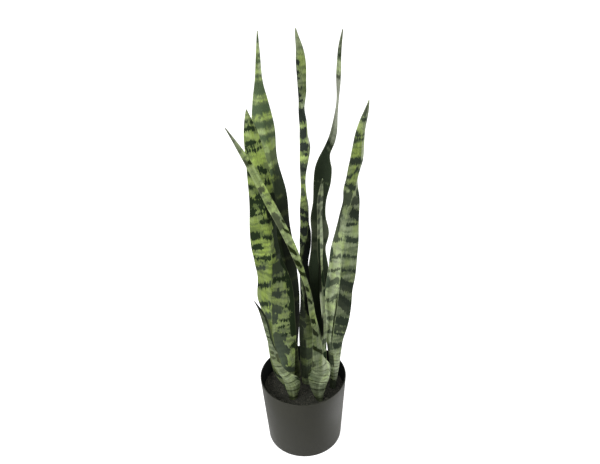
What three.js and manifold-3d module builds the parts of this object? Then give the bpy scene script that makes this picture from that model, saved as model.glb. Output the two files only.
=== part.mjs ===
// Potted snake plant: eight upright leaves standing in the soil of a plain tapered pot.
// Millimetres, +Z up. The origin is the middle of the pot's flat underside, and -Y is the front.
import * as THREE from 'three';
import { mergeVertices } from 'three/addons/utils/BufferGeometryUtils.js';
import Module from 'manifold-3d';

const wasm = await Module();
wasm.setup();

// ---- Driving dimensions ----
const POT_HEIGHT = 138;
const RIM_RADIUS = 75;
const BASE_RADIUS = 65.5;
const WALL = 2;
const FLOOR = 3;
const EDGE_ROUND = 0.6; // rounding of the rim and of the underside's edge
const POT_SEGMENTS = 72;

const WALL_CLEARANCE = 0.3; // between the soil and the pot's wall
const SLOT_CLEARANCE = 0.4; // between the soil and each leaf's foot
const SOIL_CROWN = 118; // height of the soil's low mound in the middle
const SOIL_FALL = 14; // how much lower the soil lies at the wall
const SOIL_BUMP = 0.8; // gentle unevenness of the soil's top
const SOIL_WAVES = [[3, 9], [5, -6]]; // waves round the mound, and their turn on the way to the wall
const SOIL_RINGS = 10;
const SOIL_SEGMENTS = 48;

const BLADE_THICKNESS = 2.2; // at the midrib of the free blade
const FOOT_THICKNESS = 4; // at the midrib in the soil
const EDGE_THICKNESS = 1.2;
const TIP_HALF_WIDTH = 0.6;
const SLIM_BELOW = 6; // half width below which the midrib slims towards the tip
const EDGE_WAVE = 1.1; // slow waves along the free edges
const WAVE_LENGTH = 95;
const FOOT_TOP = 150; // the leaf thins and creases between these two heights
const BLADE_START = 260;
const FOOT_CREASE = 0.1; // 0 is a round channel, 1 is a sharp fold at the midrib
const BLADE_CREASE = 0.8;
const STEPS_PER_SPAN = 3; // sections of the loft between two listed stations
const HALF_STRIPS = 3; // strips across each half of the blade
const TANGENT_STEP = 0.05; // how far apart, in spans, the midrib's direction is measured
const ROOTED = 84; // height of every leaf's lower end, inside the soil

// ---- The leaves ----
const [Z, X, Y, LEFT, RIGHT, TURN, FOLD] = [0, 1, 2, 3, 4, 5, 6];

// Each station is [z, x, y, left, right, turn, fold]: where the midrib is, the blade's width from the
// midrib to its left and right edges, which way its face turns (degrees, 0 is the front, 90 is the
// right), and how far its edges fold towards that face (degrees, below 0 away from it).
// The first station is the foot in the soil and the last is the tip.
const LEAVES = {
  leaf_tall_back_left: [
    [ROOTED, -12, 15, 10, 10, 0, -40],
    [120, -13, 15, 12, 12, 0, -40],
    [180, -17, 18, 14, 14, 10, -38],
    [250, -16, 22, 22, 22, 20, -32],
    [330, -20, 26, 27, 27, 25, -28],
    [410, -29, 32, 28, 29.5, 30, -25],
    [480, -33, 37, 28, 29, 32, -25],
    [550, -38, 43, 25, 24, 42, -28],
    [600, -45, 47, 19, 19, 20, -20],
    [640, -48, 50, 12, 12, 10, -18],
    [672, -49, 53, 6, 6, 10, -15],
    [710, -48, 57, 3.2, 3.2, 10, -12],
    [744, -47, 60, 0.7, 0.7, 10, 0],
  ],
  leaf_wide_left: [
    [ROOTED, -25, -15, 10, 10, -5, -50],
    [118, -25, -15, 14, 14, -5, -45],
    [150, -31, -16, 25, 22, 0, -36],
    [190, -38, -17, 30, 28, -15, -34],
    [240, -47, -18, 36, 38, -34, -36],
    [300, -47, -17, 39, 38, -25, -29],
    [348, -45, -15, 34, 34, -12, -36],
    [390, -43, -13, 30, 28, 18, -41],
    [434, -44, -12, 30, 29, 35, -34],
    [495, -48, -10, 24, 24, 28, -22],
    [555, -54, -8, 17.5, 17.5, 18, -16],
    [607, -61, -6, 12, 12, 5, -12],
    [632, -64, -5, 7, 7, 0, -8],
    [655, -66, -5, 0.7, 0.7, 0, 0],
  ],
  leaf_slender_front: [
    [ROOTED, 27, -40, 8, 8, 0, -50],
    [115, 27, -40, 11, 10, 0, -50],
    [138, 25, -40, 22, 22, 0, -46],
    [160, 27, -43, 25, 25, 0, -40],
    [186, 32, -47, 21, 23, 12, -40],
    [215, 31, -50, 16, 14, 45, -32],
    [260, 28, -53, 12, 10, 50, -22],
    [320, 20.5, -58, 8, 6.5, 55, -15],
    [370, 14, -62, 6.5, 5, 60, -10],
    [430, 1, -65, 7, 5, 45, -12],
    [495, -20, -68, 7.5, 6, 30, -15],
    [560, -45, -71, 7, 5.5, 30, -15],
    [615, -67, -73, 5, 4, 30, -12],
    [663, -91, -75, 0.7, 0.7, 30, 0],
  ],
  leaf_tall_centre: [
    [ROOTED, 6, -1, 9, 9, 0, -50],
    [120, 6, -1, 12, 11.5, 0, -45],
    [180, 7, 0, 15.5, 13, -5, -38],
    [240, 8, 1, 16.5, 14, -10, -36],
    [300, 6, 3, 15.5, 13, -30, -40],
    [368, 2, 5, 13, 13, -45, -45],
    [404, 6, 5, 13.5, 13.5, -30, -46],
    [428, 13, 6, 12.5, 12.5, 11, -45],
    [452, 15.5, 6, 12, 12, 48, -38],
    [480, 15, 6, 11, 11, 50, -36],
    [530, 13, 7, 9.5, 9.5, 72, -34],
    [573, 19, 8, 12.5, 12.5, 48, -34],
    [602, 17.5, 8, 11.5, 11.5, 50, -40],
    [625, 16.5, 8, 10, 10, 42, -52],
    [643, 12.5, 9, 8.5, 8.5, 10, -64],
    [657, 10.5, 9, 9, 9.5, -15, -62],
    [680, 9, 9, 10.5, 11, -38, -46],
    [712, 8.5, 10, 10.5, 10.7, -40, -42],
    [738, 9, 10, 7, 6.5, -38, -30],
    [765, 6.5, 10, 0.7, 0.7, -30, 0],
  ],
  leaf_tall_right: [
    [ROOTED, 22, 20, 9, 9, 10, 40],
    [120, 22, 20, 11, 11, 10, 40],
    [180, 25, 21, 14, 13, 5, 30],
    [250, 28, 23, 16, 14, 0, 22],
    [320, 30, 26, 17, 15, 0, 20],
    [354, 31, 27, 17, 17, 0, 18],
    [389, 32, 28, 13, 12, 0, 16],
    [421, 35, 28, 14.5, 14.5, 0, 16],
    [450, 33, 29, 13.5, 11.5, 5, 15],
    [479, 36, 30, 12, 10, 5, 15],
    [510, 40, 32, 14.3, 13, 0, 15],
    [533, 42, 33, 14, 13, 0, 15],
    [548, 43.5, 34, 9.5, 11.5, -20, 15],
    [563, 47, 34, 5.7, 8.5, -40, 12],
    [582, 55, 35, 6, 7.3, -45, 10],
    [605, 60, 37, 5.5, 6.5, -50, 10],
    [645, 65, 40, 4.5, 5, -80, 8],
    [685, 66, 42, 4.7, 4.7, -50, 8],
    [720, 68, 44, 3.3, 3.3, -40, 5],
    [748, 72, 45, 0.7, 0.7, -40, 0],
  ],
  leaf_narrow_inner: [
    [ROOTED, 35, -5, 7, 6, 20, 35],
    [120, 35, -5, 8, 6.5, 20, 35],
    [180, 36, -5, 8.5, 6, 40, 30],
    [250, 36, -6, 8.5, 6.5, 58, 25],
    [320, 34.5, -7, 8, 8, 62, 20],
    [390, 33, -8, 7.5, 7, 58, 15],
    [450, 33, -8, 7.5, 6.5, 52, 10],
    [505, 35, -8, 6, 5.5, 45, 8],
    [540, 39, -8, 0.7, 0.7, 45, 0],
  ],
  leaf_short_front_left: [
    [ROOTED, -18, -36, 8, 8, 0, -50],
    [115, -18.5, -36, 11, 11, 0, -50],
    [135, -19, -38, 19, 18, -5, -46],
    [158, -22, -42, 23, 18, -12, -42],
    [185, -36, -48, 20, 14, -35, -42],
    [215, -47, -53, 15, 13, -58, -40],
    [250, -51, -57, 11.5, 12.5, -65, -35],
    [290, -56, -63, 10, 12.5, -65, -30],
    [330, -61, -69, 8, 11, -62, -20],
    [352, -65, -72, 5, 7, -55, -10],
    [367, -70, -75, 0.7, 0.7, -50, 0],
  ],
  leaf_broad_right: [
    [ROOTED, 52, -10, 6, 6, 0, -50],
    [118, 52, -10, 7.5, 7.5, 0, -48],
    [140, 54, -10, 8, 8, 0, -44],
    [165, 54.5, -9, 11.5, 11.5, -5, -40],
    [195, 53.5, -8, 16, 16, -12, -40],
    [222, 52, -8, 20, 19.2, -22, -37],
    [255, 55, -7, 24, 24, -20, -32],
    [290, 59.5, -6, 29, 26.5, -5, -28],
    [322, 62, -6, 25.5, 25.5, -6, -28],
    [355, 65, -5, 25.3, 27, -12, -31],
    [394, 67.5, -3, 24.5, 26.5, -16, -32],
    [426, 70, -1, 22.8, 25, -25, -35],
    [460, 75.5, 1, 18, 21.5, -17, -39],
    [490, 81.5, 2, 15.5, 18, -5, -41],
    [525, 89, 4, 16.5, 16.5, 45, -32],
    [555, 94.5, 5, 17.5, 17, 45, -28],
    [580, 96.5, 6, 15.5, 15, 42, -28],
    [600, 97.5, 7, 12, 12, 38, -26],
    [616, 99.5, 8, 8.5, 9, 35, -25],
    [633, 102.5, 9, 5, 5.5, 32, -20],
    [656, 107, 10, 0.7, 0.7, 30, 0],
  ],
};

const FINISHES = {
  pot: { color: '#4d4c47', roughness: 0.55, metalness: 0 },
  soil: { color: '#2a2823', roughness: 0.95, metalness: 0 },
  leaf: { color: '#6f8442', roughness: 0.45, metalness: 0 },
};

// ---- Interpolation ----
function smoothstep(low, high, value) {
  const t = THREE.MathUtils.clamp((value - low) / (high - low), 0, 1);
  return t * t * (3 - 2 * t);
}

// A smooth curve through the values of one column of a leaf's stations.
function along(stations, column, position) {
  const last = stations.length - 1;
  const span = Math.min(Math.floor(position), last - 1);
  const t = position - span;
  const [a, b, c, d] = [span - 1, span, span + 1, span + 2].map(
    (index) => stations[THREE.MathUtils.clamp(index, 0, last)][column],
  );
  const bend = 2 * a - 5 * b + 4 * c - d;
  const twist = 3 * b - a - 3 * c + d;
  return 0.5 * (2 * b + (c - a) * t + bend * t * t + twist * t ** 3);
}

// ---- A leaf: a lofted blade, folded at its midrib and turned along its length ----
function midrib(stations, position) {
  return new THREE.Vector3(...[X, Y, Z].map((column) => along(stations, column, position)));
}

// One section of the leaf: its points from the left edge to the right, with their thickness.
function leafSection(stations, position, grow) {
  const last = stations.length - 1;
  const centre = midrib(stations, position);
  const before = midrib(stations, Math.max(position - TANGENT_STEP, 0));
  const after = midrib(stations, Math.min(position + TANGENT_STEP, last));
  const up = after.sub(before).normalize();
  const turn = THREE.MathUtils.degToRad(along(stations, TURN, position));
  const right = new THREE.Vector3(Math.cos(turn), Math.sin(turn), 0);
  right.addScaledVector(up, -right.dot(up)).normalize();
  const face = new THREE.Vector3().crossVectors(right, up);

  const fold = THREE.MathUtils.degToRad(along(stations, FOLD, position));
  const risen = smoothstep(FOOT_TOP, BLADE_START, centre.z);
  const crease = THREE.MathUtils.lerp(FOOT_CREASE, BLADE_CREASE, risen);
  const ribThickness = THREE.MathUtils.lerp(FOOT_THICKNESS, BLADE_THICKNESS, risen);

  const half = (column, side) => {
    const width = Math.max(along(stations, column, position), TIP_HALF_WIDTH) + grow;
    const strip = width / HALF_STRIPS;
    const phase = (2 * Math.PI * centre.z) / WAVE_LENGTH + side + stations[0][X];
    const wave = EDGE_WAVE * risen * Math.min(1, width / SLIM_BELOW) * Math.sin(phase);
    const point = centre.clone();
    const points = [];
    for (let index = 0; index <= HALF_STRIPS; index += 1) {
      const reach = index / HALF_STRIPS;
      const tilt = side * fold * (crease * Math.sign(index) + 2 * (1 - crease) * reach);
      const normal = face.clone().multiplyScalar(Math.cos(tilt));
      normal.addScaledVector(right, -Math.sin(tilt));
      const slimming = Math.min(1, width / SLIM_BELOW) * (1 - reach * reach);
      const thickness = THREE.MathUtils.lerp(EDGE_THICKNESS, ribThickness, slimming) + 2 * grow;
      const waved = point.clone().addScaledVector(face, wave * reach ** 2);
      points.push({ point: waved, normal, thickness });
      const bend = fold * (crease + (1 - crease) * (2 * reach + 1 / HALF_STRIPS));
      point.addScaledVector(right, side * Math.cos(bend) * strip);
      point.addScaledVector(face, Math.sin(bend) * strip);
    }
    return points;
  };
  return [...half(LEFT, -1).slice(1).reverse(), ...half(RIGHT, 1)];
}

function leafGeometry(stations, grow = 0) {
  const rows = (stations.length - 1) * STEPS_PER_SPAN;
  const columns = 2 * HALF_STRIPS;
  const positions = [];
  for (let row = 0; row <= rows; row += 1) {
    for (const { point, normal, thickness } of leafSection(stations, row / STEPS_PER_SPAN, grow)) {
      for (const side of [0.5, -0.5]) {
        const corner = point.clone().addScaledVector(normal, side * thickness);
        if (row === 0) corner.z -= grow;
        positions.push(corner.x, corner.y, corner.z);
      }
    }
  }
  const front = (row, column) => 2 * (row * (columns + 1) + column);
  const back = (row, column) => front(row, column) + 1;
  const triangles = [];
  const quad = (a, b, c, d) => triangles.push(a, b, c, a, c, d);
  for (let row = 0; row < rows; row += 1) {
    for (let column = 0; column < columns; column += 1) {
      quad(front(row, column), front(row, column + 1), front(row + 1, column + 1), front(row + 1, column));
      triangles.push(back(row, column), back(row + 1, column + 1), back(row, column + 1));
      triangles.push(back(row, column), back(row + 1, column), back(row + 1, column + 1));
    }
    quad(front(row, 0), front(row + 1, 0), back(row + 1, 0), back(row, 0));
    quad(front(row, columns), back(row, columns), back(row + 1, columns), front(row + 1, columns));
  }
  for (let column = 0; column < columns; column += 1) {
    quad(front(0, column), back(0, column), back(0, column + 1), front(0, column + 1));
    quad(front(rows, column), front(rows, column + 1), back(rows, column + 1), back(rows, column));
  }
  const geometry = new THREE.BufferGeometry();
  geometry.setAttribute('position', new THREE.Float32BufferAttribute(positions, 3));
  geometry.setIndex(triangles);
  return geometry;
}

// ---- The pot: a turned profile, from the axis under the floor round to the axis above it ----
function outerRadius(height) {
  return BASE_RADIUS + ((RIM_RADIUS - BASE_RADIUS) * height) / POT_HEIGHT;
}

function potGeometry() {
  const innerRim = RIM_RADIUS - WALL;
  const profile = [
    [0, 0],
    [BASE_RADIUS - EDGE_ROUND, 0],
    [outerRadius(EDGE_ROUND), EDGE_ROUND],
    [outerRadius(POT_HEIGHT - EDGE_ROUND), POT_HEIGHT - EDGE_ROUND],
    [RIM_RADIUS - EDGE_ROUND, POT_HEIGHT],
    [innerRim + EDGE_ROUND, POT_HEIGHT],
    [outerRadius(POT_HEIGHT - EDGE_ROUND) - WALL, POT_HEIGHT - EDGE_ROUND],
    [outerRadius(FLOOR) - WALL, FLOOR],
    [0, FLOOR],
  ].map(([radius, height]) => new THREE.Vector2(radius, height));
  const geometry = new THREE.LatheGeometry(profile, POT_SEGMENTS);
  geometry.rotateX(Math.PI / 2); // the lathe turns about Y; this stands the pot up along Z
  return geometry;
}

// ---- The soil: a low uneven mound on a tapered body, with a slot for each leaf's foot ----
function soilTop(radius, angle) {
  const reach = radius / (RIM_RADIUS - WALL);
  const [slow, fast] = SOIL_WAVES.map(([waves, turn]) => waves * angle + turn * reach);
  const bump = Math.sin(slow) + Math.cos(fast);
  return SOIL_CROWN - SOIL_FALL * reach ** 4 + SOIL_BUMP * reach * bump;
}

function soilGeometry() {
  const innerRadius = (height) => outerRadius(height) - WALL - WALL_CLEARANCE;
  const bottomRadius = innerRadius(FLOOR);
  const topRadius = innerRadius(SOIL_CROWN - SOIL_FALL);
  const positions = [0, 0, SOIL_CROWN, 0, 0, FLOOR];
  const [TOP, BOTTOM] = [0, 1];
  const ring = (index, step) => 2 + index * SOIL_SEGMENTS + (step % SOIL_SEGMENTS);
  for (let index = 1; index <= SOIL_RINGS + 1; index += 1) {
    for (let step = 0; step < SOIL_SEGMENTS; step += 1) {
      const angle = (2 * Math.PI * step) / SOIL_SEGMENTS;
      const radius = index > SOIL_RINGS ? bottomRadius : (topRadius * index) / SOIL_RINGS;
      const height = index > SOIL_RINGS ? FLOOR : soilTop(radius, angle);
      positions.push(radius * Math.cos(angle), radius * Math.sin(angle), height);
    }
  }
  const triangles = [];
  for (let step = 0; step < SOIL_SEGMENTS; step += 1) {
    triangles.push(TOP, ring(0, step), ring(0, step + 1));
    triangles.push(BOTTOM, ring(SOIL_RINGS, step + 1), ring(SOIL_RINGS, step));
    for (let index = 0; index < SOIL_RINGS; index += 1) {
      triangles.push(ring(index, step), ring(index + 1, step), ring(index + 1, step + 1));
      triangles.push(ring(index, step), ring(index + 1, step + 1), ring(index, step + 1));
    }
  }
  const geometry = new THREE.BufferGeometry();
  geometry.setAttribute('position', new THREE.Float32BufferAttribute(positions, 3));
  geometry.setIndex(triangles);
  return geometry;
}

// ---- Cutting ----
function toSolid(geometry) {
  const bare = geometry.clone();
  bare.deleteAttribute('normal');
  bare.deleteAttribute('uv');
  const merged = mergeVertices(bare);
  return new wasm.Manifold(new wasm.Mesh({
    numProp: 3,
    vertProperties: Float32Array.from(merged.attributes.position.array),
    triVerts: Uint32Array.from(merged.index.array),
  }));
}

function toGeometry(solid) {
  const mesh = solid.getMesh();
  const geometry = new THREE.BufferGeometry();
  geometry.setAttribute('position', new THREE.Float32BufferAttribute(mesh.vertProperties, 3));
  geometry.setIndex(Array.from(mesh.triVerts));
  return geometry;
}

function slottedSoil() {
  let soil = toSolid(soilGeometry());
  for (const stations of Object.values(LEAVES)) {
    soil = soil.subtract(toSolid(leafGeometry(stations, SLOT_CLEARANCE)));
  }
  return toGeometry(soil);
}

// ---- Assembly ----
const group = new THREE.Group();

function addPiece(name, geometry, finish) {
  geometry.computeVertexNormals();
  const mesh = new THREE.Mesh(geometry, new THREE.MeshStandardMaterial(finish));
  mesh.name = name;
  group.add(mesh);
}

addPiece('pot', potGeometry(), FINISHES.pot);
addPiece('soil', slottedSoil(), FINISHES.soil);
for (const [name, stations] of Object.entries(LEAVES)) {
  addPiece(name, leafGeometry(stations), FINISHES.leaf);
}

export default group;
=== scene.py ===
"""Dresses the potted snake plant: eight banded leaves, soil and pot, on a pale stage.

Sizes are in metres unless a name ends in _MM. The leaves are laid out in millimetres,
along the same stations as the part's solids, and turned into metres when placed.
"""

import math
import random

import bmesh
import bpy
import numpy as np
from mathutils import Matrix, Vector, noise


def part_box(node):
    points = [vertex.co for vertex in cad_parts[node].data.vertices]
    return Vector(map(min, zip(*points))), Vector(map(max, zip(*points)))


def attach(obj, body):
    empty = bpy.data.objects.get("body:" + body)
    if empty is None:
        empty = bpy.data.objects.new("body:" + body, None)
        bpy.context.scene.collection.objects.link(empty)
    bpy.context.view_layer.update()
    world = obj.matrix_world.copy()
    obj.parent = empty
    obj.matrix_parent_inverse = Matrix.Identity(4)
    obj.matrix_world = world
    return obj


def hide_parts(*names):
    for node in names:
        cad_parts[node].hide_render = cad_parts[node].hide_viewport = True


bl_info = {
    "name": "Potted snake plant",
    "version": (1, 0, 0),
    "blender": (4, 5, 0),
    "location": "3D View > Sidebar > Plant",
    "description": "Builds a snake plant in a plain pot around its fixed frame",
    "category": "Object",
}

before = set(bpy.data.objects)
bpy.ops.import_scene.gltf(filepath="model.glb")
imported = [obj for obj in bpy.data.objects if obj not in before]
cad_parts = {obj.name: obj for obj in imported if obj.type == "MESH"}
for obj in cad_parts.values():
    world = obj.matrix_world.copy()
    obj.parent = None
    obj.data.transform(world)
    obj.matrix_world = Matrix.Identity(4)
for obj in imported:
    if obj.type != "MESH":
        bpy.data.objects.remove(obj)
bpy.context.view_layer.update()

MM = 0.001
BODY = "root"

# ---------------------------------------------------------------- the leaves' layout

# Each row of a leaf: height, x and y of the midrib, width of the left and right half,
# turn of the blade and fold of each half. Lengths in mm, angles in degrees.
HEIGHT, MID_X, MID_Y, LEFT, RIGHT, TURN, FOLD = range(7)

STATIONS = {
    "leaf_tall_back_left": (
        (84, -12, 15, 10, 10, 0, -40), (120, -13, 15, 12, 12, 0, -40),
        (180, -17, 18, 14, 14, 10, -38), (250, -16, 22, 22, 22, 20, -32),
        (330, -20, 26, 27, 27, 25, -28), (410, -29, 32, 28, 29.5, 30, -25),
        (480, -33, 37, 28, 29, 32, -25), (550, -38, 43, 25, 24, 42, -28),
        (600, -45, 47, 19, 19, 20, -20), (640, -48, 50, 12, 12, 10, -18),
        (672, -49, 53, 6, 6, 10, -15), (710, -48, 57, 3.2, 3.2, 10, -12),
        (744, -47, 60, 0.7, 0.7, 10, 0),
    ),
    "leaf_wide_left": (
        (84, -25, -15, 10, 10, -5, -50), (118, -25, -15, 14, 14, -5, -45),
        (150, -31, -16, 25, 22, 0, -36), (190, -38, -17, 30, 28, -15, -34),
        (240, -47, -18, 36, 38, -34, -36), (300, -47, -17, 39, 38, -25, -29),
        (348, -45, -15, 34, 34, -12, -36), (390, -43, -13, 30, 28, 18, -41),
        (434, -44, -12, 30, 29, 35, -34), (495, -48, -10, 24, 24, 28, -22),
        (555, -54, -8, 17.5, 17.5, 18, -16), (607, -61, -6, 12, 12, 5, -12),
        (632, -64, -5, 7, 7, 0, -8), (655, -66, -5, 0.7, 0.7, 0, 0),
    ),
    "leaf_slender_front": (
        (84, 27, -40, 8, 8, 0, -50), (115, 27, -40, 11, 10, 0, -50),
        (138, 25, -40, 22, 22, 0, -46), (160, 27, -43, 25, 25, 0, -40),
        (186, 32, -47, 21, 23, 12, -40), (215, 31, -50, 16, 14, 45, -32),
        (260, 28, -53, 12, 10, 50, -22), (320, 20.5, -58, 8, 6.5, 55, -15),
        (370, 14, -62, 6.5, 5, 60, -10), (430, 1, -65, 7, 5, 45, -12),
        (495, -20, -68, 7.5, 6, 30, -15), (560, -45, -71, 7, 5.5, 30, -15),
        (615, -67, -73, 5, 4, 30, -12), (663, -91, -75, 0.7, 0.7, 30, 0),
    ),
    "leaf_tall_centre": (
        (84, 6, -1, 9, 9, 0, -50), (120, 6, -1, 12, 11.5, 0, -45),
        (180, 7, 0, 15.5, 13, -5, -38), (240, 8, 1, 16.5, 14, -10, -36),
        (300, 6, 3, 15.5, 13, -30, -40), (368, 2, 5, 13, 13, -45, -45),
        (404, 6, 5, 13.5, 13.5, -30, -46), (428, 13, 6, 12.5, 12.5, 11, -45),
        (452, 15.5, 6, 12, 12, 48, -38), (480, 15, 6, 11, 11, 50, -36),
        (530, 13, 7, 9.5, 9.5, 72, -34), (573, 19, 8, 12.5, 12.5, 48, -34),
        (602, 17.5, 8, 11.5, 11.5, 50, -40), (625, 16.5, 8, 10, 10, 42, -52),
        (643, 12.5, 9, 8.5, 8.5, 10, -64), (657, 10.5, 9, 9, 9.5, -15, -62),
        (680, 9, 9, 10.5, 11, -38, -46), (712, 8.5, 10, 10.5, 10.7, -40, -42),
        (738, 9, 10, 7, 6.5, -38, -30), (765, 6.5, 10, 0.7, 0.7, -30, 0),
    ),
    "leaf_tall_right": (
        (84, 22, 20, 9, 9, 10, 40), (120, 22, 20, 11, 11, 10, 40),
        (180, 25, 21, 14, 13, 5, 30), (250, 28, 23, 16, 14, 0, 22),
        (320, 30, 26, 17, 15, 0, 20), (354, 31, 27, 17, 17, 0, 18),
        (389, 32, 28, 13, 12, 0, 16), (421, 35, 28, 14.5, 14.5, 0, 16),
        (450, 33, 29, 13.5, 11.5, 5, 15), (479, 36, 30, 12, 10, 5, 15),
        (510, 40, 32, 14.3, 13, 0, 15), (533, 42, 33, 14, 13, 0, 15),
        (548, 43.5, 34, 9.5, 11.5, -20, 15), (563, 47, 34, 5.7, 8.5, -40, 12),
        (582, 55, 35, 6, 7.3, -45, 10), (605, 60, 37, 5.5, 6.5, -50, 10),
        (645, 65, 40, 4.5, 5, -80, 8), (685, 66, 42, 4.7, 4.7, -50, 8),
        (720, 68, 44, 3.3, 3.3, -40, 5), (748, 72, 45, 0.7, 0.7, -40, 0),
    ),
    "leaf_narrow_inner": (
        (84, 35, -5, 7, 6, 20, 35), (120, 35, -5, 8, 6.5, 20, 35),
        (180, 36, -5, 8.5, 6, 40, 30), (250, 36, -6, 8.5, 6.5, 58, 25),
        (320, 34.5, -7, 8, 8, 62, 20), (390, 33, -8, 7.5, 7, 58, 15),
        (450, 33, -8, 7.5, 6.5, 52, 10), (505, 35, -8, 6, 5.5, 45, 8),
        (540, 39, -8, 0.7, 0.7, 45, 0),
    ),
    "leaf_short_front_left": (
        (84, -18, -36, 8, 8, 0, -50), (115, -18.5, -36, 11, 11, 0, -50),
        (135, -19, -38, 19, 18, -5, -46), (158, -22, -42, 23, 18, -12, -42),
        (185, -36, -48, 20, 14, -35, -42), (215, -47, -53, 15, 13, -58, -40),
        (250, -51, -57, 11.5, 12.5, -65, -35), (290, -56, -63, 10, 12.5, -65, -30),
        (330, -61, -69, 8, 11, -62, -20), (352, -65, -72, 5, 7, -55, -10),
        (367, -70, -75, 0.7, 0.7, -50, 0),
    ),
    "leaf_broad_right": (
        (84, 52, -10, 6, 6, 0, -50), (118, 52, -10, 7.5, 7.5, 0, -48),
        (140, 54, -10, 8, 8, 0, -44), (165, 54.5, -9, 11.5, 11.5, -5, -40),
        (195, 53.5, -8, 16, 16, -12, -40), (222, 52, -8, 20, 19.2, -22, -37),
        (255, 55, -7, 24, 24, -20, -32), (290, 59.5, -6, 29, 26.5, -5, -28),
        (322, 62, -6, 25.5, 25.5, -6, -28), (355, 65, -5, 25.3, 27, -12, -31),
        (394, 67.5, -3, 24.5, 26.5, -16, -32), (426, 70, -1, 22.8, 25, -25, -35),
        (460, 75.5, 1, 18, 21.5, -17, -39), (490, 81.5, 2, 15.5, 18, -5, -41),
        (525, 89, 4, 16.5, 16.5, 45, -32), (555, 94.5, 5, 17.5, 17, 45, -28),
        (580, 96.5, 6, 15.5, 15, 42, -28), (600, 97.5, 7, 12, 12, 38, -26),
        (616, 99.5, 8, 8.5, 9, 35, -25), (633, 102.5, 9, 5, 5.5, 32, -20),
        (656, 107, 10, 0.7, 0.7, 30, 0),
    ),
}

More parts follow.
